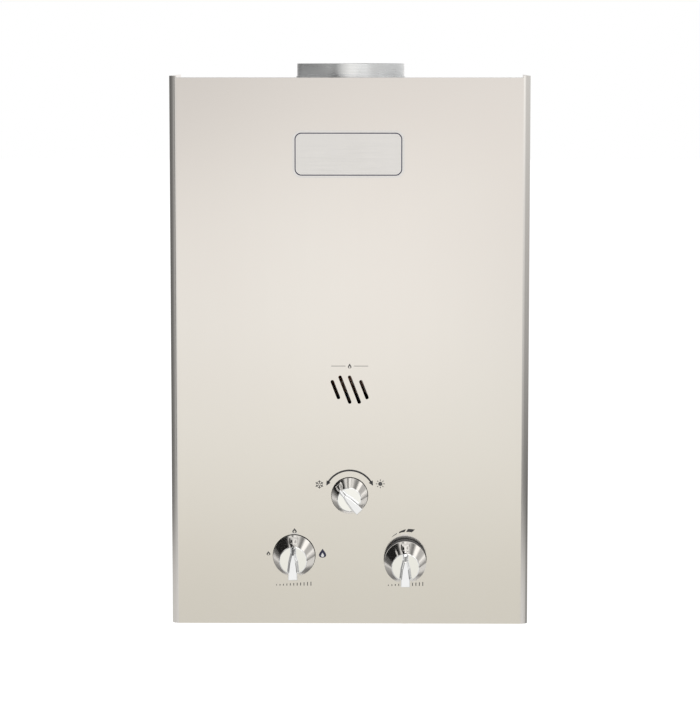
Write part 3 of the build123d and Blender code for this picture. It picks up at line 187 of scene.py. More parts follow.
world = bpy.data.worlds.new("studio_room")
world.use_nodes = True
scene.world = world
room = world.node_tree
room.nodes.clear()
direction = node(room, "ShaderNodeTexCoord").outputs["Generated"]
axes = node(room, "ShaderNodeSeparateXYZ", {0: direction})
forward = math_node(room, "MULTIPLY", axes.outputs["Y"], -1.0)
azimuth = math_node(room, "ARCTAN2", axes.outputs["X"], forward)
turn_share = math_node(room, "MULTIPLY_ADD", azimuth, 0.5 / np.pi, 0.5)
height = math_node(room, "ARCSINE", axes.outputs["Z"])
height_share = math_node(room, "MULTIPLY_ADD", height, 1.0 / np.pi, 0.5)


def levels(factor, span, stops):
    """A ramp through (degrees, level or colour) stops; the angle runs from -span to span."""
    placed = [
        (0.5 + 0.5 * degrees / span, grey(level) if np.isscalar(level) else level)
        for degrees, level in stops
    ]
    return ramp(room, factor, placed)


def by_turn(stops):
    """A ramp by azimuth."""
    return levels(turn_share, 180, stops)


def by_height(stops):
    """A ramp by height."""
    return levels(height_share, 90, stops)


def layered(degrees, soft, below, above):
    """One colour below a height and another above it, with a smooth step of soft to each side."""
    limits = np.radians([degrees - soft, degrees + soft])
    return blend_colors(room, map_range(room, height, *limits, kind="SMOOTHSTEP"), below, above)


def multiplied(first, second):
    """One colour of the room times another."""
    return blend_colors(room, 1.0, first, second, "MULTIPLY")


front = by_height(
    [
        (-90, 0.60), (-30, 0.88), (-20, 0.94), (-15, 0.92), (-11.5, (0.80, 0.785, 0.71)),
        (-8, (1.03, 1.02, 0.97)), (-5.5, (1.16, 1.15, 1.13)), (-3, (1.13, 1.11, 1.09)),
        (-0.5, (0.94, 0.905, 0.89)), (2, 0.90), (10, 0.90), (24, 1.05), (34, 1.25), (50, 1.25),
        (56, 0.30), (90, 0.30),
    ]
)
low_lean = by_turn([(-5, 0.92), (-3, 0.96), (-1, 1.0), (1, 1.0), (2.2, 0.93), (3.2, 0.87)])
upper_lean = by_turn([(-7, 0.78), (-1, 1.0), (3, 1.06), (9, 1.06)])
lean = layered(LOW_PART, 1.5, grey(1.0), low_lean)
lean = layered(UPPER_PART, 1.8, lean, upper_lean)
front = multiplied(front, lean)
print("room front in", len(room.nodes), "nodes")

# %% [markdown]
# The sides stand on the floor and a pale skirting. On the left a wall fades towards the back, with
# a dark doorway above it and one dark post below. On the right one ramp by height is multiplied by
# one by azimuth, with a second post. A mask keeps the front clear for the bright ramp. It is wide
# between the walls, narrower over the floor and narrowest over the floor close by. High up a few
# dark beams cross the front. The camera itself sees plain white, and matte surfaces get an even
# light.

# %% Room: sides
ROOM_AMBIENT = 0.85
NEAR_FLOOR = -19.5
WALL_FOOT = -13.0
SKIRTING_TOP = -10.0
DOORWAY_SILL = 2.5
POST_FOOT = 3.0
BEAM_FOOT = 26.0
SIDES_TOP = 36.0


def side_mask(left_full, left_clear, right_clear, right_full):
    """1 on both sides of the room, 0 between the two clear angles and 0 at its back."""
    stops = [(-168, 0), (-150, 1), (left_full, 1), (left_clear, 0)]
    stops += [(right_clear, 0), (right_full, 1), (150, 1), (168, 0)]
    return by_turn(stops)


floor_layer = by_turn(
    [
        (-150, 0.60), (-40, 0.62), (-24, 0.50), (-13, 0.30), (-5, 0.20), (5, 0.18), (13, 0.22),
        (17, 0.50), (20, 0.90), (40, 0.90), (75, 0.55), (150, 0.60),
    ]
)
skirting = by_turn(
    [(-150, 0.70), (-40, 0.88), (-17, 0.92), (17, 0.92), (75, 0.80), (105, 0.35), (150, 0.35)]
)
left_wall = by_turn(
    [
        (-150, 0.16), (-90, 0.19), (-60, 0.32), (-45, 0.47), (-37, 0.60), (-36, 0.12),
        (-29, 0.12), (-28, 0.75), (-18, 0.90),
    ]
)
doorway = by_turn([(-150, 0.34), (-47, 0.30), (-42, 0.015), (-17, 0.015)])
left_side = layered(DOORWAY_SILL, 1.0, left_wall, doorway)

right_heights = by_height(
    [
        (-10, 0.13), (-8.6, 0.17), (-7, 0.38), (-4, 0.58), (-1.5, 0.74), (2, 0.92), (4.5, 0.46),
        (16, 0.42), (19, 1.0),
    ]
)
right_turns = by_turn([(12, 1.6), (36, 1.4), (45, 1.0), (150, 0.95)])
right_post = by_turn([(11, 1.0), (12.5, 0.42), (24, 0.42), (26, 1.0)])
right_side = multiplied(right_heights, right_turns)
right_side = multiplied(right_side, layered(POST_FOOT, 1.0, grey(1.0), right_post))

beside = blend_colors(room, by_turn([(-1, 0.0), (1, 1.0)]), left_side, right_side)
beside = layered(SKIRTING_TOP, 0.6, skirting, beside)
beside = layered(WALL_FOOT, 1.0, floor_layer, beside)
sides = layered(NEAR_FLOOR, 0.7, side_mask(-5, -3, 2.5, 4), side_mask(-7, -4.5, 9.5, 12))
sides = layered(WALL_FOOT, 1.0, sides, side_mask(-19, -15, 12, 15))
sides = layered(SIDES_TOP, 2.0, sides, grey(0.0))
beams = by_turn(
    [
        (-9, 1.0), (-7.5, 0.10), (-4.5, 0.10), (-3, 1.0), (3, 1.0), (4.5, 0.50), (8, 0.75),
        (17, 0.72), (20, 0.42), (26, 0.42), (28, 1.0),
    ]
)
beams = layered(BEAM_FOOT, 2.0, grey(1.0), beams)
shell = multiplied(blend_colors(room, sides, front, beside), beams)

rays = node(room, "ShaderNodeLightPath").outputs
mirror_ray = math_node(room, "MAXIMUM", rays["Is Glossy Ray"], rays["Is Transmission Ray"])
lit = blend_colors(room, mirror_ray, grey(ROOM_AMBIENT), shell)
seen = blend_colors(room, rays["Is Camera Ray"], lit, grey(1.0))
background = node(room, "ShaderNodeBackground", {"Color": seen, "Strength": 1.0})
node(room, "ShaderNodeOutputWorld", {"Surface": background.outputs[0]})
print("room of", len(room.nodes), "nodes, ambient", ROOM_AMBIENT)

# %% [markdown]
# One soft box hangs above the front. It gives the matte pieces their form and throws the soft
# shadow on the floor; the panel and the knob faces don't see it.

# %% Soft box
BOX_SIDE = 1.2
BOX_POWER = 9.0
BOX_PLACE = Vector((0.6, -1.3, 2.3))
BOX_TARGET = Vector((0.0, -0.06, 0.0))

light = bpy.data.lights.new("upper_box", "AREA")
light.shape = "RECTANGLE"
light.size = BOX_SIDE
light.size_y = BOX_SIDE
light.energy = BOX_POWER
lamp = bpy.data.objects.new("upper_box", light)
lamp.location = BOX_PLACE
lamp.rotation_euler = (BOX_TARGET - BOX_PLACE).to_track_quat("-Z", "Y").to_euler()
scene.collection.objects.link(lamp)
print("lamp", lamp.name, "of", light.energy, "W")

# %% [markdown]
# The heater hangs on a wall, so the floor lies well below it. Its shader adds a little glow for
# the camera alone, so that it meets the white background without an edge and still takes a shadow.
# A mirror ray goes through it, because the room's own ramp already holds the floor that metal sees,
# and so does a look from below, for a view of the heater's underside.

# %% Floor
FLOOR_DROP = 0.75
FLOOR_REACH = 30.0
FLOOR_COLOR = (0.88, 0.88, 0.88, 1.0)
FLOOR_GLOW = 0.35

floor_z = cad_box[0][2] - FLOOR_DROP
floor_corners = [
    (x * FLOOR_REACH, y * FLOOR_REACH, floor_z) for x, y in ((-1, -1), (1, -1), (1, 1), (-1, 1))
]
floor_mesh = bpy.data.meshes.new("studio_floor")
floor_mesh.from_pydata(floor_corners, [], [(0, 1, 2, 3)])
floor = bpy.data.objects.new("studio_floor", floor_mesh)
scene.collection.objects.link(floor)
floor_paint = bpy.data.materials.new("pale_floor")
floor_paint.use_nodes = True
tree = floor_paint.node_tree
tree.nodes.clear()
rays = node(tree, "ShaderNodeLightPath").outputs
matte = node(tree, "ShaderNodeBsdfDiffuse", {"Color": FLOOR_COLOR})
glow_level = math_node(tree, "MULTIPLY", rays["Is Camera Ray"], FLOOR_GLOW)
glow = node(tree, "ShaderNodeEmission", {"Strength": glow_level})
glowing = node(tree, "ShaderNodeAddShader", {0: matte.outputs[0], 1: glow.outputs[0]})
clear = node(tree, "ShaderNodeBsdfTransparent")
mirror_ray = math_node(tree, "MAXIMUM", rays["Is Glossy Ray"], rays["Is Transmission Ray"])
from_below = node(tree, "ShaderNodeNewGeometry").outputs["Backfacing"]
passed = math_node(tree, "MAXIMUM", mirror_ray, from_below)
paint = node(tree, "ShaderNodeMixShader", {0: passed, 1: glowing.outputs[0], 2: clear.outputs[0]})
node(tree, "ShaderNodeOutputMaterial", {"Surface": paint.outputs[0]})
floor_mesh.materials.append(floor_paint)
print("floor at", round(floor_z, 3))

# %% [markdown]
# ## Shared effects
# Most of the finishes need the same two things: a fine grain that runs one way, left by rolling,
# brushing or drawing the metal, and slow patches where it has been handled or heated. Each is a
# node group on Object coordinates, in metres, so the marks keep their real size on every piece.


# %% Node groups
def effect_group(name, inputs, outputs):
    """An empty shader group with its named sockets, and its input and output nodes."""
    group = bpy.data.node_groups.new(name, "ShaderNodeTree")
    for key, kind, value in inputs:
        socket = group.interface.new_socket(key, in_out="INPUT", socket_type=kind)
        socket.default_value = value
    for key, kind in outputs:
        group.interface.new_socket(key, in_out="OUTPUT", socket_type=kind)
    return group, group.nodes.new("NodeGroupInput"), group.nodes.new("NodeGroupOutput")


grain_group, given, result = effect_group(
    "metal_grain",
    [
        ("Stretch", "NodeSocketVector", (1.0, 1.0, 1.0)),
        ("Low", "NodeSocketFloat", 0.3),
        ("High", "NodeSocketFloat", 0.4),
    ],
    [("Roughness", "NodeSocketFloat"), ("Height", "NodeSocketFloat")],
)
spot = node(grain_group, "ShaderNodeTexCoord").outputs["Object"]
stretched = {0: spot, 1: given.outputs["Stretch"]}
drawn = node(grain_group, "ShaderNodeVectorMath", stretched, operation="MULTIPLY").outputs[0]
fibres = noise(grain_group, drawn, 1.0, 3.0, 0.6)
grain = map_range(grain_group, fibres, 0.3, 0.7, given.outputs["Low"], given.outputs["High"])
grain_group.links.new(grain, result.inputs["Roughness"])
grain_group.links.new(fibres, result.inputs["Height"])

patch_group, given, result = effect_group(
    "slow_patches",
    [("Size", "NodeSocketFloat", 0.05), ("Edge", "NodeSocketFloat", 0.2)],
    [("Mask", "NodeSocketFloat")],
)
spot = node(patch_group, "ShaderNodeTexCoord").outputs["Object"]
often = math_node(patch_group, "DIVIDE", 1.0, given.outputs["Size"])
cloud = noise(patch_group, spot, often, 4.0, 0.55)
cloud_low = math_node(patch_group, "SUBTRACT", 0.5, given.outputs["Edge"])
cloud_high = math_node(patch_group, "ADD", 0.5, given.outputs["Edge"])
mask = map_range(patch_group, cloud, cloud_low, cloud_high)
patch_group.links.new(mask, result.inputs["Mask"])
print("groups", grain_group.name, patch_group.name)

# %% [markdown]
# ## Finishes
# One function makes a finish from two close colours, a grain and a bump; the pieces differ in
# those numbers. The Principled shader stays in the material itself, and its plain numbers are set
# on its own sockets.

# %% Finish maker
PATCH_EDGE = 0.2
BUMP_DEPTH = 0.1 * MM


def finish(name, light, dark, metallic, stretch, low, high, patch, bump):
    """A material whose colour drifts from light to dark in patches of a size in metres.

    Its roughness runs from low to high along a grain, stretched by its repeats in a metre along
    x, y and z, and the same grain gives the bump.
    """
    made = bpy.data.materials.new(name)
    made.use_nodes = True
    tree = made.node_tree
    tree.nodes.clear()
    grain = node(tree, "ShaderNodeGroup", {}, node_tree=grain_group)
    grain.inputs["Stretch"].default_value = stretch
    grain.inputs["Low"].default_value = low
    grain.inputs["High"].default_value = high
    patches = node(tree, "ShaderNodeGroup", {}, node_tree=patch_group)
    patches.inputs["Size"].default_value = patch
    patches.inputs["Edge"].default_value = PATCH_EDGE
    color = blend_colors(tree, patches.outputs["Mask"], light, dark)
    inputs = {"Base Color": color, "Roughness": grain.outputs["Roughness"], "Metallic": metallic}
    shader = node(tree, "ShaderNodeBsdfPrincipled", inputs)
    if bump:
        relief_look = {"Height": grain.outputs["Height"], "Strength": bump, "Distance": BUMP_DEPTH}
        relief = node(tree, "ShaderNodeBump", relief_look)
        tree.links.new(relief.outputs[0], shader.inputs["Normal"])
    node(tree, "ShaderNodeOutputMaterial", {"Surface": shader.outputs[0]})
    return made


# Light and dark colour, metallic; then stretch, low and high roughness, patch size and bump.
FINISH_TABLE = {
    "panel_steel": (
        (0.750, 0.722, 0.682), (0.742, 0.708, 0.668), 1.0,
        (700, 700, 9), 0.100, 0.115, 0.16, 0.0,
    ),
    "collar_metal": (
        (0.92, 0.925, 0.92), (0.87, 0.875, 0.87), 1.0,
        (20, 20, 1100), 0.24, 0.34, 0.02, 0.15,
    ),
    "knob_chrome": (
        (0.945, 0.945, 0.94), (0.93, 0.93, 0.92), 1.0,
        (60, 60, 60), 0.03, 0.06, 0.01, 0.0,
    ),
    "fastener_steel": (
        (0.68, 0.69, 0.69), (0.55, 0.55, 0.54), 1.0,
        (500, 500, 500), 0.28, 0.45, 0.006, 0.0,
    ),
    "copper": (
        (0.80, 0.44, 0.30), (0.52, 0.26, 0.17), 1.0,
        (300, 300, 40), 0.25, 0.42, 0.03, 0.0,
    ),
    "brass": (
        (0.80, 0.62, 0.31), (0.64, 0.47, 0.22), 1.0,
        (700, 700, 700), 0.26, 0.42, 0.012, 0.1,
    ),
    "cast_alloy": (
        (0.62, 0.63, 0.64), (0.50, 0.51, 0.52), 1.0,
        (900, 900, 900), 0.42, 0.62, 0.02, 0.4,
    ),
    "black_plastic": (
        (0.028, 0.028, 0.030), (0.040, 0.040, 0.042), 0.0,
        (1500, 1500, 1500), 0.42, 0.58, 0.05, 0.3,
    ),
    "white_plastic": (
        (0.82, 0.82, 0.79), (0.77, 0.77, 0.73), 0.0,
        (1100, 1100, 1100), 0.30, 0.42, 0.05, 0.12,
    ),
    "ceramic": (
        (0.88, 0.87, 0.84), (0.80, 0.78, 0.73), 0.0,
        (600, 600, 600), 0.12, 0.22, 0.01, 0.0,
    ),
    "seal_rubber": (
        (0.035, 0.035, 0.035), (0.055, 0.053, 0.05), 0.0,
        (900, 900, 900), 0.65, 0.85, 0.05, 0.3,
    ),
    "coil_steel": (
        (0.16, 0.17, 0.19), (0.12, 0.13, 0.15), 0.0,
        (500, 500, 500), 0.35, 0.5, 0.05, 0.15,
    ),
}
finishes = {name: finish(name, *row) for name, row in FINISH_TABLE.items()}
print("finishes", sorted(finishes))

# %% [markdown]
# Four finishes have a pattern of their own. Zinc crystals make flat grey cells on galvanised
# sheet; heat stains the burner from straw to blue towards its flame ports; a dry cell wears a
# printed jacket with a plain band; and the sight pane is clear.

# %% Finishes with a pattern
SPANGLE = 9 * MM
STAIN_SPREAD = 0.3
PRINT_EDGE = 0.005
JACKET_FOOT = 0.035
JACKET_BAND = 0.705
JACKET_TOP = 0.95


def pattern_material(name):
    """An empty material, its node tree and its Object coordinates."""
    made = bpy.data.materials.new(name)
    made.use_nodes = True
    made.node_tree.nodes.clear()
    return made, made.node_tree, node(made.node_tree, "ShaderNodeTexCoord").outputs["Object"]


def close_material(made, **inputs):
    """The Principled shader of a material and its output; the inputs' names have underscores."""
    tree = made.node_tree
    sockets = {key.replace("_", " "): value for key, value in inputs.items()}
    shader = node(tree, "ShaderNodeBsdfPrincipled", sockets)
    node(tree, "ShaderNodeOutputMaterial", {"Surface": shader.outputs[0]})
    return made


zinc, tree, spot = pattern_material("galvanised")
cells = {"Vector": spot, "Scale": 1 / SPANGLE, "Randomness": 1.0}
crystals = node(tree, "ShaderNodeTexVoronoi", cells)
shade = node(tree, "ShaderNodeSeparateColor", {0: crystals.outputs["Color"]}).outputs[0]
tones = [(0.0, (0.52, 0.54, 0.56)), (0.5, (0.60, 0.62, 0.64)), (1.0, (0.70, 0.72, 0.73))]
zinc_color = ramp(tree, shade, tones)
zinc_roughness = map_range(tree, shade, 0.0, 1.0, 0.32, 0.5)
finishes["galvanised"] = close_material(
    zinc, Base_Color=zinc_color, Roughness=zinc_roughness, Metallic=1.0
)

burner_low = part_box("burner_tray")[0][2]
burner_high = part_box("burner_blades")[1][2]
burner, tree, spot = pattern_material("burner_steel")
spot_z = node(tree, "ShaderNodeSeparateXYZ", {0: spot}).outputs["Z"]
cloud = noise(tree, spot, 60.0, 3.0)
heat = map_range(tree, spot_z, burner_low, burner_high)
heat = math_node(tree, "SUBTRACT", heat, 0.5 * STAIN_SPREAD)
heat = math_node(tree, "MULTIPLY_ADD", cloud, STAIN_SPREAD, heat, clamp=True)
stains = [(0.0, (0.56, 0.55, 0.53)), (0.62, (0.58, 0.47, 0.30))]
stains += [(0.8, (0.34, 0.20, 0.26)), (1.0, (0.20, 0.24, 0.38))]
finishes["burner_steel"] = close_material(
    burner, Base_Color=ramp(tree, heat, stains), Roughness=0.38, Metallic=1.0
)

cell_low, cell_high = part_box("batteries")
jacket, tree, spot = pattern_material("cell_jacket")
spot_z = node(tree, "ShaderNodeSeparateXYZ", {0: spot}).outputs["Z"]
share = map_range(tree, spot_z, cell_low[2], cell_high[2])
bare, dark_print, band_print = (0.62, 0.62, 0.62), (0.03, 0.04, 0.06), (0.5, 0.3, 0.1)
bands = [(0.0, bare), (JACKET_FOOT - PRINT_EDGE, bare)]
bands += [(JACKET_FOOT, dark_print), (JACKET_BAND - PRINT_EDGE, dark_print)]
bands += [(JACKET_BAND, band_print), (JACKET_TOP - PRINT_EDGE, band_print)]
bands += [(JACKET_TOP, bare), (1.0, bare)]
from_middle = math_node(tree, "SUBTRACT", share, 0.5 * (JACKET_FOOT + JACKET_TOP))
from_middle = math_node(tree, "ABSOLUTE", from_middle)
bare_ends = math_node(tree, "GREATER_THAN", from_middle, 0.5 * (JACKET_TOP - JACKET_FOOT))
finishes["cell_jacket"] = close_material(
    jacket, Base_Color=ramp(tree, share, bands), Roughness=0.3, Metallic=bare_ends
)

pane, tree, spot = pattern_material("pane_glass")
film = map_range(tree, noise(tree, spot, 120.0, 2.0), 0.0, 1.0, 0.02, 0.12)
finishes["pane_glass"] = close_material(
    pane,
    Base_Color=(0.92, 0.95, 0.94, 1.0),
    Roughness=film,
    Metallic=0.0,
    Transmission_Weight=1.0,
    IOR=1.46,
)

for piece in frame["record"]["subparts"]:
    for slot in nodes[piece["node"]].material_slots:
        slot.material = finishes[piece["material_slot"]]

# %% [markdown]
# ## Printed marks
# The marks round the knobs are screen printed: flat ink a few hundredths of a millimetre thick.
# A picture texture would do, but then the ink would have no edge of its own. Here each mark is a
# thin solid: outlines on the panel, x to the right and z up, joined into a band, a filled patch or
# a set of strokes that is lifted off the sheet by the ink's thickness. The places of the marks are
# in millimetres, with their height measured from the panel's lower edge.

# %% Ink
INK_LIFT = 0.06 * MM
INK_GRAIN = (2000, 2000, 2000)
panel_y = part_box("front_cover")[0][1]
floor_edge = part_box("front_cover")[0][2]


def ink(name, color, spread):
    """A satin ink whose tone varies slightly, as a thin print does."""
    worn = tuple(channel + spread for channel in color)
    return finish(name, color, worn, 0.0, INK_GRAIN, 0.4, 0.55, 0.002, 0.05)


inks = {
    "dark": ink("dark_ink", (0.035, 0.033, 0.036), 0.02),
    "navy": ink("navy_ink", (0.012, 0.014, 0.055), 0.01),
    "grey": ink("grey_ink", (0.085, 0.082, 0.080), 0.03),
    "pale": ink("pale_ink", (0.24, 0.235, 0.23), 0.03),
    "white": ink("white_ink", (0.88, 0.88, 0.87), 0.03),
}


def add_piece(name, points, faces, material, body):
    """A mesh piece in the row frame, its faces turned outwards, riding on a body."""
    mesh = bpy.data.meshes.new(name)
    mesh.from_pydata(points.tolist(), [], faces.tolist())
    work = bmesh.new()
    work.from_mesh(mesh)
    bmesh.ops.remove_doubles(work, verts=work.verts, dist=1e-7)
    bmesh.ops.recalc_face_normals(work, faces=work.faces)
    work.to_mesh(mesh)
    work.free()
    mesh.materials.append(material)
    piece = bpy.data.objects.new(name, mesh)
    scene.collection.objects.link(piece)
    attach(piece, body)
    return piece


def grid_faces(rows, columns, wrap_rows, wrap_columns):
    """Quads of a rows x columns grid of points, closed round in either way or both."""
    row = np.arange(rows if wrap_rows else rows - 1)[:, None]
    column = np.arange(columns if wrap_columns else columns - 1)[None, :]
    next_row = (row + 1) % rows
    next_column = (column + 1) % columns
    corners = [row * columns + column, next_row * columns + column]
    corners += [next_row * columns + next_column, row * columns + next_column]
    return np.stack([corner.ravel() for corner in np.broadcast_arrays(*corners)], axis=1)


def add_mark(name, points, faces, material):
    """A printed mark on the panel.

    Chromed knobs close by would mirror it as a smudge, so it casts no image.
    """
    mark = add_piece(name, points, faces, material, "casing")
    mark.visible_glossy = False
    return mark


def on_panel(outline, lift):
    """An outline of x and z laid on the panel and lifted off it."""
    return np.stack([outline[:, 0], np.full(len(outline), panel_y - lift), outline[:, 1]], axis=1)


def ink_band(name, outer, inner, closed, material):
    """A band between two outlines: base and lifted points of each, four rows joined round."""
    rows = [(outer, 0.0), (outer, INK_LIFT), (inner, INK_LIFT), (inner, 0.0)]
    points = np.concatenate([on_panel(outline, lift) for outline, lift in rows])
    count = len(outer)
    faces = grid_faces(4, count, True, closed)
    if not closed:
        first_end = np.arange(4) * count
        faces = np.concatenate([faces, [first_end, first_end + count - 1]])
    return add_mark(name, points, faces, material)


def ink_patch(name, outline, material, lift=INK_LIFT):
    """A filled mark: its outline, base and lifted, each closed to the middle by a fan."""
    middle = np.broadcast_to(outline.mean(axis=0), outline.shape)
    rows = [(middle, 0.0), (outline, 0.0), (outline, lift), (middle, lift)]
    points = np.concatenate([on_panel(line, rise) for line, rise in rows])
    return add_mark(name, points, grid_faces(4, len(outline), False, True), material)


def ink_strokes(name, starts, ends, width, material):
    """Straight strokes, each a thin box about the line from its start to its end."""
    starts = np.asarray(starts, float)
    ends = np.asarray(ends, float)
    along = ends - starts
    across = np.stack([-along[:, 1], along[:, 0]], axis=1)
    across *= 0.5 * width / np.linalg.norm(along, axis=1, keepdims=True)
    corners = np.stack([starts - across, ends - across, ends + across, starts + across], axis=1)
    plan = np.concatenate([corners, corners], axis=1) * MM
    depths = np.broadcast_to(panel_y - np.repeat([0.0, INK_LIFT], 4), plan.shape[:2])
    points = np.stack([plan[..., 0], depths, plan[..., 1] + floor_edge], axis=-1)
    box = np.array(
        [[0, 1, 2, 3], [7, 6, 5, 4], [0, 4, 5, 1], [1, 5, 6, 2], [2, 6, 7, 3], [3, 7, 4, 0]]
    )
    faces = (np.arange(len(starts))[:, None, None] * 8 + box).reshape(-1, 4)
    return add_mark(name, points.reshape(-1, 3), faces, material)


print("inks", sorted(inks))

# %% [markdown]
# ### Flames round the gas knob
# A flame is a teardrop: going round by t, its half-width is sin t times a power of sin(t/2),
# which is zero with a sharp point at the top and round at the bottom. The mark is the band
# between a large drop and a small one that sits low in it.

# %% Flames
DROP_SHARP = 1.6
DROP_POINTS = 72
HEART_WIDTH = 0.42
HEART_HEIGHT = 0.46
HEART_DROP = 0.19


def teardrop(x, z, width, tall):
    """Points of a drop: x = width/2 sin t sin(t/2)^sharp, scaled to the width; z = tall/2 cos t."""
    t = np.linspace(0.0, 2 * np.pi, DROP_POINTS, endpoint=False)
    across = np.sin(t) * np.sin(t / 2) ** DROP_SHARP
    across *= 0.5 * width / np.abs(across).max()
    return np.stack([x + across, z + 0.5 * tall * np.cos(t)], axis=1)


def flame(name, place, size, material):
    """A flame mark by its middle, width and height; gives the outline of its inner drop."""
    x = place[0] * MM
    z = floor_edge + place[1] * MM
    width, tall = size[0] * MM, size[1] * MM
    outer = teardrop(x, z, width, tall)
    inner = teardrop(x, z - HEART_DROP * tall, HEART_WIDTH * width, HEART_HEIGHT * tall)
    ink_band(name, outer, inner, True, material)
    return inner


flame("flame_small", (-66.2, 57.9), (3.1, 3.5), inks["grey"])
flame("flame_medium", (-44.9, 76.6), (3.7, 4.0), inks["grey"])
heart = flame("flame_large", (-22.1, 58.1), (5.9, 7.5), inks["navy"])
ink_patch("flame_heart", heart, inks["white"])
print("flames on the panel at y", round(panel_y, 4))

# %% [markdown]
# ### Arc, arrowheads and growing dashes
# The season knob turns under an arc with an arrowhead at each end. The water knob has three
# dashes that thicken clockwise. Both are bands between two circles whose spacing changes along
# the arc; the dashes' ends slant because their two edges start at different angles.

# %% Arcs
KNOB_SIDE = 45.2 * MM
SEASON_CENTER = (0.0, -116.8 * MM)
GAS_CENTER = (-KNOB_SIDE, -166.3 * MM)
WATER_CENTER = (KNOB_SIDE, -169.3 * MM)
DASH_CENTER = (KNOB_SIDE, -166.3 * MM)
ARC_INNER = 19.75 * MM
ARC_OUTER = 21.2 * MM
ARC_ENDS = (149.0, 31.0)
ARC_POINTS = 73
ARROW_RADIUS = 20.45 * MM
ARROW_HALF = 1.7 * MM
ARROW_TIP = 0.2 * MM
ARROW_POINTS = 9
DASH_SLANT = 1.6
DASH_POINTS = 25


def on_circle(center, radius, degrees):
    """Points on circles about a centre, the angle measured from +x towards +z."""
    angle = np.radians(degrees)
    x = center[0] + radius * np.cos(angle)
    return np.stack([x, center[1] + radius * np.sin(angle)], axis=1)


sweep = np.linspace(*ARC_ENDS, ARC_POINTS)
ink_band(
    "season_arc",
    on_circle(SEASON_CENTER, ARC_OUTER, sweep),
    on_circle(SEASON_CENTER, ARC_INNER, sweep),
    False,
    inks["dark"],
)
along = np.linspace(0.0, 1.0, ARROW_POINTS)
half = ARROW_HALF * (1.0 - along) + ARROW_TIP
for name, start, end in (
    ("season_arrow_left", 146.5, 156.5),
    ("season_arrow_right", 33.5, 23.5),
):
    angle = start + (end - start) * along
    ink_band(
        name,
        on_circle(SEASON_CENTER, ARROW_RADIUS + half, angle),
        on_circle(SEASON_CENTER, ARROW_RADIUS - half, angle),
        False,
        inks["dark"],
    )

# Name and ink; then the angles, the inner edge's radii and the widths at the two ends.
dashes = [
    ("water_dash_1", "pale", (125.0, 111.0), (18.5, 19.0), (0.40, 0.85)),
    ("water_dash_2", "dark", (105.7, 91.7), (19.1, 19.5), (1.05, 2.30)),
    ("water_dash_3", "dark", (88.3, 74.5), (19.5, 19.9), (2.55, 2.95)),
]
for name, tone, angles, radii, widths in dashes:
    angle, radius, width = (np.linspace(*ends, DASH_POINTS) for ends in (angles, radii, widths))
    ink_band(
        name,
        on_circle(DASH_CENTER, (radius + width) * MM, angle - DASH_SLANT * width),
        on_circle(DASH_CENTER, radius * MM, angle),
        False,
        inks[tone],
    )
print("arc, two arrowheads and", len(dashes), "dashes")

# %% [markdown]
# ### Plain signs and the name plate
# The panel's signs need no language: a snowflake and a sun at the arc's ends, a scale of growing
# strokes under the gas and water knobs, and a small flame between two lines over the sight slots.
# The name plate is a rounded sheet of satin metal with a thin printed frame.

# %% Signs
SNOW_PLACE = np.array([-24.6, 114.6])
SNOW_ARM = (0.6, 3.5)
SNOW_FORK = 2.0
SNOW_TWIG = 1.2
SNOW_STROKE = 0.6
SUN_PLACE = np.array([24.9, 115.2])
SUN_RAY = (2.4, 3.6)
SUN_STROKE = 0.65
SUN_RADIUS = 1.7
SUN_POINTS = 48
SCALE_SIDE = 45.6
SCALE_RISE = 31.2
SCALE_WIDTH = 28.0
SCALE_COUNT = 11
SCALE_STROKE = 0.7
SCALE_LENGTHS = (1.0, 3.2)
CAPTION_RISE = 211.4
CAPTION_REACH = (3.4, 15.0)
CAPTION_STROKE = 0.4


def ways(degrees):
    """Unit vectors at angles measured from +x towards +z."""
    return on_circle((0.0, 0.0), 1.0, degrees)


arms = np.arange(6) * 60.0 + 30.0
forks = SNOW_PLACE + SNOW_FORK * ways(arms)
twigs = [forks + SNOW_TWIG * ways(arms + spread) for spread in (60.0, -60.0)]
starts = np.concatenate([SNOW_PLACE + SNOW_ARM[0] * ways(arms), forks, forks])
ends = np.concatenate([SNOW_PLACE + SNOW_ARM[1] * ways(arms), *twigs])
ink_strokes("sign_snow", starts, ends, SNOW_STROKE, inks["grey"])

sun_ways = ways(np.arange(8) * 45.0)
starts, ends = (SUN_PLACE + reach * sun_ways for reach in SUN_RAY)
ink_strokes("sign_sun_rays", starts, ends, SUN_STROKE, inks["grey"])
disc = np.linspace(0.0, 360.0, SUN_POINTS, endpoint=False)
sun_center = (SUN_PLACE[0] * MM, floor_edge + SUN_PLACE[1] * MM)
ink_patch("sign_sun", on_circle(sun_center, SUN_RADIUS * MM, disc), inks["grey"])

lengths = np.linspace(*SCALE_LENGTHS, SCALE_COUNT)
for name, middle in (("scale_gas", -SCALE_SIDE), ("scale_water", SCALE_SIDE)):
    x = middle + np.linspace(-0.5, 0.5, SCALE_COUNT) * SCALE_WIDTH
    feet = np.stack([x, np.full(SCALE_COUNT, SCALE_RISE)], axis=1)
    heads = np.stack([x, SCALE_RISE + lengths], axis=1)
    ink_strokes(name, feet, heads, SCALE_STROKE, inks["grey"])

near, far = CAPTION_REACH
starts = [[-far, CAPTION_RISE], [near, CAPTION_RISE]]
ends = [[-near, CAPTION_RISE], [far, CAPTION_RISE]]
ink_strokes("caption_lines", starts, ends, CAPTION_STROKE, inks["grey"])
flame("caption_flame", (0.0, 211.5), (2.9, 4.0), inks["grey"])
print("signs: snow, sun, two scales and a caption flame")

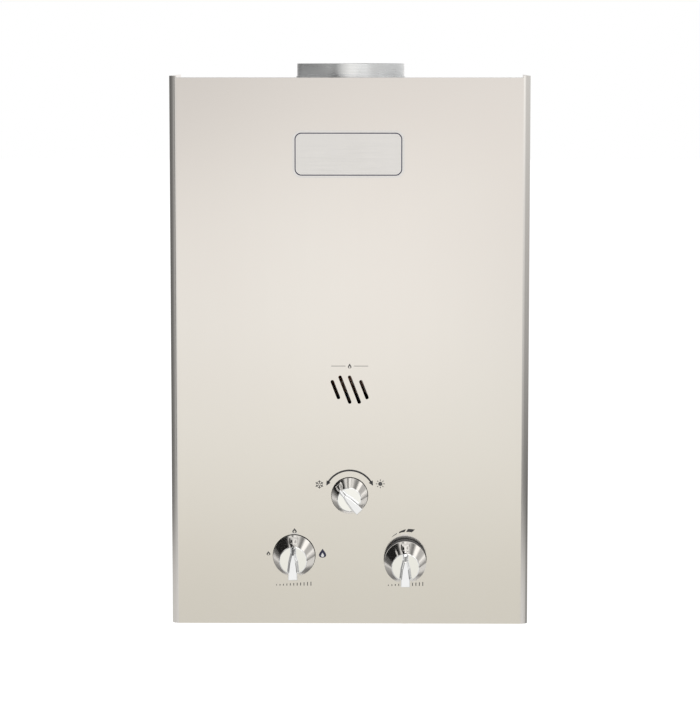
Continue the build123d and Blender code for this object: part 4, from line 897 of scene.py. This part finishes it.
# %% Name plate
PLATE_LIFT = 0.35 * MM
PLATE_X = -1.0 * MM
PLATE_RISE = 382.4 * MM
PLATE_OUTLINE = (90.0, 38.0, 7.0)
FRAME_OUTER = (86.4, 34.4, 5.4)
FRAME_INNER = (84.8, 32.8, 4.7)
FRAME_POINTS = 96
plate_center = np.array([PLATE_X, floor_edge + PLATE_RISE])


def round_frame(width, tall, corner):
    """A rounded rectangle in mm: x = sign(cos t) (width/2 - corner) + corner cos t, z likewise."""
    t = (np.arange(FRAME_POINTS) + 0.5) * 2 * np.pi / FRAME_POINTS
    across = np.sign(np.cos(t)) * (0.5 * width - corner) + corner * np.cos(t)
    up = np.sign(np.sin(t)) * (0.5 * tall - corner) + corner * np.sin(t)
    return plate_center + np.stack([across, up], axis=1) * MM


plate_sheet = finish(
    "plate_sheet",
    (0.80, 0.785, 0.765),
    (0.775, 0.76, 0.74),
    1.0,
    (25, 25, 900),
    0.20,
    0.26,
    0.03,
    0.04,
)
ink_patch("name_plate", round_frame(*PLATE_OUTLINE), plate_sheet, PLATE_LIFT)
outer, inner = round_frame(*FRAME_OUTER), round_frame(*FRAME_INNER)
plate_print = ink_band("name_plate_frame", outer, inner, True, inks["navy"])
plate_print.data.transform(Matrix.Translation((0.0, -PLATE_LIFT, 0.0)))
print("name plate", PLATE_OUTLINE[0], "x", PLATE_OUTLINE[1], "mm")

# %% [markdown]
# ## Grip ridges
# A chromed knob is moulded before it is plated, so its grip grows out of the cone in a soft hollow
# instead of a sharp corner, and that hollow shows as a dark line on one side and a grey one on the
# other. The ridge is a section carried down the cone, round the edge of the face and along the
# face: a hollow of radius R, the grip's drafted wall and a flat crest, the same on both sides.
# Lengths along the knob are shares of its height, and lengths across it shares of its radius. A
# table gives places in its first row and values in its second.

# %% Grip ridges
RIDGE_PROUD = 0.03 * MM
RIDGE_SUNK = 0.7 * MM
CONE_HOLLOW = 0.35 * MM
FACE_HOLLOW = 0.8 * MM
LEAST_HOLLOW = 0.05 * MM
HIDDEN_WALL = 0.1 * MM
FACE_ROUND = 0.8 * MM
RIDGE_CREASE = np.radians(40.0)
CONE_POINTS = 26
EDGE_POINTS = 13
FACE_POINTS = 44
HOLLOW_POINTS = 12
FACE_SHARE = 0.66
RIDGE_FOOT = 0.17
RIDGE_TAIL = -0.56
PEAK_PLACE = 0.36
PEAK_CREST = 0.405
FACE_CREST = 0.30
EDGE_CREST = 0.155
GRIP_DRAFT = 0.15
GRIP_HEIGHT = 1.42
TUCKED_IN = 0.6
GRIP_HALVES = ([-0.84, -0.48, 0.0, 0.36, 0.95], [0.21, 0.20, 0.14, 0.05, 0.05])
CONE_CREST = (
    [0.17, 0.3, 0.42, 0.49, 0.6, 0.8, 1.0],
    [0.01, 0.058, 0.1, 0.125, 0.14, 0.15, 0.155],
)
CONE_FLARE = ([0.17, 0.45, 0.65, 0.75, 0.87, 1.0], [0.01, 0.04, 0.045, 0.03, 0.012, 0.005])
CONE_NARROW = ([0.49, 0.56, 0.65, 0.72, 0.9, 1.0], [1.0, 0.85, 0.6, 0.42, 0.42, 0.47])
FACE_NARROW = [0.55, 0.58]


def ridge_path(radius, tall):
    """The line that the ridge follows: y, z, the tilt of its normal, and what lies on the face.

    On the cone y = radius - (radius - face) z / tall, the edge is an arc of radius FACE_ROUND from
    the cone's tilt to a right angle, and on the face z = tall.
    """
    face = FACE_SHARE * radius
    slope = np.arctan2(radius - face, tall)
    edge_y = face + (radius - face) / tall * FACE_ROUND - FACE_ROUND / np.cos(slope)
    edge_z = tall - FACE_ROUND
    cone_top = edge_z + FACE_ROUND * np.sin(slope)
    cone_z = np.linspace(RIDGE_FOOT * tall, cone_top, CONE_POINTS)[:-1]
    cone_y = radius - (radius - face) * cone_z / tall
    bend = np.linspace(slope, 0.5 * np.pi, EDGE_POINTS)
    face_y = np.linspace(edge_y, RIDGE_TAIL * radius, FACE_POINTS)[1:]
    y = np.concatenate([cone_y, edge_y + FACE_ROUND * np.cos(bend), face_y])
    z = np.concatenate([cone_z, edge_z + FACE_ROUND * np.sin(bend), np.full(len(face_y), tall)])
    flat = np.full(len(face_y), 0.5 * np.pi)
    tilt = np.concatenate([np.full(len(cone_z), slope), bend, flat])
    on_face = np.arange(len(tilt)) >= len(cone_z) + len(bend) - 1
    return y, z, tilt, on_face


def grip_wall(y, z, radius, tall):
    """Half-width of the grip: its plan, wider by the draft towards the foot."""
    plan = np.interp(y / radius, *GRIP_HALVES) * radius
    return plan + GRIP_DRAFT * radius * (1.0 - z / (GRIP_HEIGHT * tall)) + RIDGE_PROUD


def ridge_heights(radius, tall):
    """Height of the crest and radius of the hollow at each point of the path.

    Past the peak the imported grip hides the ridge, so only the hollow and a low wall go on there,
    and the hollow is no wider than what is left of the face.
    """
    base_y, base_z, tilt, on_face = ridge_path(radius, tall)
    slope = tilt[0]
    edge_y = base_y[on_face][0]
    peak_y = PEAK_PLACE * radius
    bent = (tilt - slope) / (0.5 * np.pi - slope)
    cone_crest = np.interp(base_z / tall, *CONE_CREST) * radius
    bend_crest = (EDGE_CREST + (FACE_CREST - EDGE_CREST) * bent**2) * radius
    face_crest = np.interp(base_y, [peak_y, edge_y], [PEAK_CREST * tall, FACE_CREST * radius])
    crest = np.where(on_face, face_crest, np.where(tilt > slope, bend_crest, cone_crest))
    hollow = np.minimum(np.where(on_face, FACE_HOLLOW, CONE_HOLLOW), 0.9 * crest)
    face_chord = np.sqrt(np.maximum((FACE_SHARE * radius - FACE_ROUND) ** 2 - base_y**2, 0.0))
    room_left = np.maximum(face_chord - grip_wall(base_y, base_z, radius, tall), LEAST_HOLLOW)
    far_half = on_face & (base_y < 0.0)
    hollow = np.where(far_half, np.minimum(hollow, room_left), hollow)
    return np.where(base_y < peak_y, hollow + HIDDEN_WALL, crest), hollow


def ridge_sections(radius, tall):
    """Sections of a ridge in the knob's frame: x across, y along the grip, z outwards.

    A section point is B + x across + h N - sag, with B on the path, N the normal there and
    sag = B_y - sqrt(B_y^2 - x^2) on the cone, less round its edge. In the hollow, h = R (1 - cos t)
    and x = wall + R (1 - sin t); above it come the wall and the crest.
    """
    base_y, base_z, tilt, on_face = ridge_path(radius, tall)
    crest, hollow = ridge_heights(radius, tall)
    edge_y = base_y[on_face][0]
    peak_y = PEAK_PLACE * radius
    hidden = base_y < peak_y
    t = np.linspace(0.0, 0.5 * np.pi, HOLLOW_POINTS)
    arc = hollow[:, None] * (1.0 - np.cos(t))
    lift = np.concatenate([arc, crest[:, None], crest[:, None]], axis=1)
    y = base_y[:, None] + lift * np.cos(tilt)[:, None]
    z = base_z[:, None] + lift * np.sin(tilt)[:, None]

    across = grip_wall(y, z, radius, tall)
    flare = np.where(hidden, 0.0, np.interp(base_z / tall, *CONE_FLARE) * radius)
    across[:, : len(t)] += hollow[:, None] * (1.0 - np.sin(t)) + flare[:, None]
    face_narrow = np.interp(base_y, [peak_y, edge_y], FACE_NARROW)
    narrow = np.where(on_face, face_narrow, np.interp(base_z / tall, *CONE_NARROW))
    foot = grip_wall(base_y, base_z, radius, tall)
    across[:, -2] = foot * np.where(hidden, TUCKED_IN, narrow)
    across[:, -1] = 0.0

    sag = base_y[:, None] - np.sqrt(np.maximum(base_y[:, None] ** 2 - across**2, 0.0))
    sag *= (np.cos(tilt) / np.cos(tilt[0]))[:, None]
    y = y - np.where(on_face[:, None], 0.0, sag)
    right_half = np.stack([across, y, z], axis=-1)
    left_half = right_half[:, -2::-1] * np.array([-1.0, 1.0, 1.0])
    under_y = base_y - RIDGE_SUNK * np.cos(tilt)
    under_z = base_z - RIDGE_SUNK * np.sin(tilt)
    under_x = TUCKED_IN * across[:, 0]
    under = [np.stack([side * under_x, under_y, under_z], axis=-1) for side in (-1, 1)]
    return np.concatenate([right_half, left_half, np.stack(under, axis=1)], axis=1)


def add_ridge(name, center, stand, radius, tall, degrees, body):
    """The ridge turned about the knob's axis, with both ends drawn together in one point."""
    rows = ridge_sections(radius * MM, tall * MM)
    ends = [np.broadcast_to(rows[place].mean(axis=0), rows[place].shape) for place in (0, -1)]
    rows = np.concatenate([ends[0][None], rows, ends[1][None]])
    angle = np.radians(degrees)
    x = center[0] + rows[..., 0] * np.cos(angle) - rows[..., 1] * np.sin(angle)
    z = center[1] + rows[..., 0] * np.sin(angle) + rows[..., 1] * np.cos(angle)
    points = np.stack([x, panel_y - stand * MM - rows[..., 2], z], axis=-1).reshape(-1, 3)
    faces = grid_faces(rows.shape[0], rows.shape[1], False, True)
    ridge = add_piece(name, points, faces, finishes["knob_chrome"], body)
    ridge.data.shade_smooth()
    ridge.data.set_sharp_from_angle(angle=RIDGE_CREASE)


# Name of each knob and its middle; its stand off the panel, radius and height in mm; its turn.
knobs = [
    ("gas", GAS_CENTER, 2.5, 17.0, 23.0, 0.0),
    ("water", WATER_CENTER, 15.0, 17.0, 23.0, 0.0),
    ("season", SEASON_CENTER, 2.5, 14.6, 20.5, 43.0),
]
for name, center, stand, radius, tall, degrees in knobs:
    add_ridge(f"{name}_knob_ridge", center, stand, radius, tall, degrees, f"{name}_control")
print(len(knobs), "ridges, hollows in mm", round(CONE_HOLLOW / MM, 2), round(FACE_HOLLOW / MM, 2))

# %% [markdown]
# ## Screws and pipe threads
# The cover's screws have low round heads with a cross recess, and the three pipe nipples end in a
# pipe thread of 14 turns to the inch. A screw is a profile turned about its axis, with the recess
# pressed into the rows of its head; a thread is a ridge carried along a helix on the plain spigot.

# %% Cover screws
SCREW_HEAD = 3.8 * MM
SCREW_RISE = 1.8 * MM
SCREW_SHANK = 1.9 * MM
SCREW_REACH = 4.0 * MM
SCREW_COLUMNS = 120
DOME_SHARE = 0.86
DOME_FALL = 0.22
RIM_RISE = 0.837
RECESS_REACH = 2.3 * MM
RECESS_HALF = 0.42 * MM
RECESS_DEPTH = 1.0 * MM
RECESS_SIDE_SOFT = 0.2 * MM
RECESS_END_SOFT = 0.5 * MM
LIP_SCREW_BACK = 13.0 * MM
LIP_SCREW_SIDE = 95.0 * MM
SIDE_SCREW_END = 57.5 * MM


def soft_step(value, edge, soft):
    """1 below the edge and 0 above it, with a smooth fall of the given width: 3s^2 - 2s^3."""
    share = np.clip((edge + 0.5 * soft - value) / soft, 0.0, 1.0)
    return share * share * (3.0 - 2.0 * share)


def recess_bar(along, across):
    """1 in one bar of the cross and 0 outside it."""
    inside = soft_step(np.abs(across), RECESS_HALF, RECESS_SIDE_SOFT)
    return inside * soft_step(np.abs(along), RECESS_REACH, RECESS_END_SOFT)


def screw(origin, right, up, out):
    """Points of a screw: radius and height rows turned by t, less the recess where a bar lies."""
    top = np.linspace(0.0, DOME_SHARE, 22)
    rim = np.radians(np.linspace(10.0, 90.0, 6))
    rim_radius = SCREW_HEAD * (DOME_SHARE + (1.0 - DOME_SHARE) * np.sin(rim))
    radius = np.concatenate([top * SCREW_HEAD, rim_radius, [SCREW_SHANK, SCREW_SHANK, 0.0]])
    dome = SCREW_RISE * (1.0 - DOME_FALL * top**2)
    rim_lift = SCREW_RISE * RIM_RISE * np.cos(rim)
    lift = np.concatenate([dome, rim_lift, [0.0, -SCREW_REACH, -SCREW_REACH]])
    t = np.linspace(0.0, 2 * np.pi, SCREW_COLUMNS, endpoint=False)
    x = radius[:, None] * np.cos(t)
    y = radius[:, None] * np.sin(t)
    on_head = (np.arange(len(radius)) < len(top))[:, None]
    z = lift[:, None] - RECESS_DEPTH * np.maximum(recess_bar(y, x), recess_bar(x, y)) * on_head
    points = x[..., None] * np.array(right) + y[..., None] * np.array(up)
    points = np.array(origin) + points + z[..., None] * np.array(out)
    return points.reshape(-1, 3), grid_faces(len(radius), SCREW_COLUMNS, False, True)


lip_screw_y = panel_y + LIP_SCREW_BACK
side_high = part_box("cover_screws")[1]
side_x = side_high[0] - SCREW_RISE
side_y = side_high[1] - SCREW_HEAD
side_zs = (floor_edge + SIDE_SCREW_END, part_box("front_cover")[1][2] - SIDE_SCREW_END)
# Origin of each screw, and its axes to the right, up and out.
places = [
    ((side * LIP_SCREW_SIDE, lip_screw_y, floor_edge), (1, 0, 0), (0, 1, 0), (0, 0, -1))
    for side in (-1, 1)
]
places += [
    ((side * side_x, side_y, z), (0, 1, 0), (0, 0, 1), (side, 0, 0))
    for side in (-1, 1)
    for z in side_zs
]
turned = [screw(*place) for place in places]
count = len(turned[0][0])
points = np.concatenate([shape[0] for shape in turned])
faces = np.concatenate([shape[1] + count * index for index, shape in enumerate(turned)])
steel = finishes["fastener_steel"]
screws = add_piece("cross_screws", points, faces, steel, "casing")
screws.data.shade_smooth()
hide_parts("cover_screws")
print("screws", len(places), "with", len(faces), "faces")

# %% Pipe threads
THREAD_PITCH = 25.4 / 14 * MM
THREAD_DEPTH = 0.45 * MM
THREAD_SUNK = 0.08 * MM
THREAD_HALF = 0.62 * MM
THREAD_CREST = 0.25
THREAD_RUNOUT = 0.25
THREAD_STEPS = 72
THREAD_START = 0.6 * MM
THREAD_END = 9.6 * MM
SPIGOT_RADIUS = 10.4775 * MM


def thread(center, low, high):
    """A ridge on a spigot: at turn t it stands at low + pitch * t, and it runs out at both ends."""
    turns = (high - low - 2 * THREAD_HALF) / THREAD_PITCH
    t = np.linspace(0.0, turns, int(turns * THREAD_STEPS))
    swell = np.minimum(1.0, np.minimum(t, turns - t) / THREAD_RUNOUT)
    across = np.array([-1.0, -THREAD_CREST, THREAD_CREST, 1.0]) * THREAD_HALF
    proud = np.array([-THREAD_SUNK, THREAD_DEPTH, THREAD_DEPTH, -THREAD_SUNK])
    reach = SPIGOT_RADIUS + np.where(proud > 0, proud * swell[:, None], proud)
    angle = 2 * np.pi * t[:, None]
    x = center[0] + reach * np.cos(angle)
    y = center[1] + reach * np.sin(angle)
    z = low + THREAD_HALF + THREAD_PITCH * t[:, None] + across
    last = 4 * len(t) - 1
    caps = np.array([[0, 1, 2, 3], [last, last - 1, last - 2, last - 3]])
    faces = np.concatenate([grid_faces(len(t), 4, False, True), caps])
    return np.stack([x, y, z], axis=-1).reshape(-1, 3), faces


for name in ("gas_inlet_nipple", "cold_inlet_nipple", "hot_outlet_nipple"):
    low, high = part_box(name)
    middle = (0.5 * (low[0] + high[0]), 0.5 * (low[1] + high[1]))
    points, faces = thread(middle, low[2] + THREAD_START, low[2] + THREAD_END)
    thread_name = name.replace("nipple", "thread")
    ridge = add_piece(thread_name, points, faces, finishes["brass"], "casing")
    ridge.data.shade_smooth()
print("threads on three nipples, pitch", round(THREAD_PITCH / MM, 3), "mm")
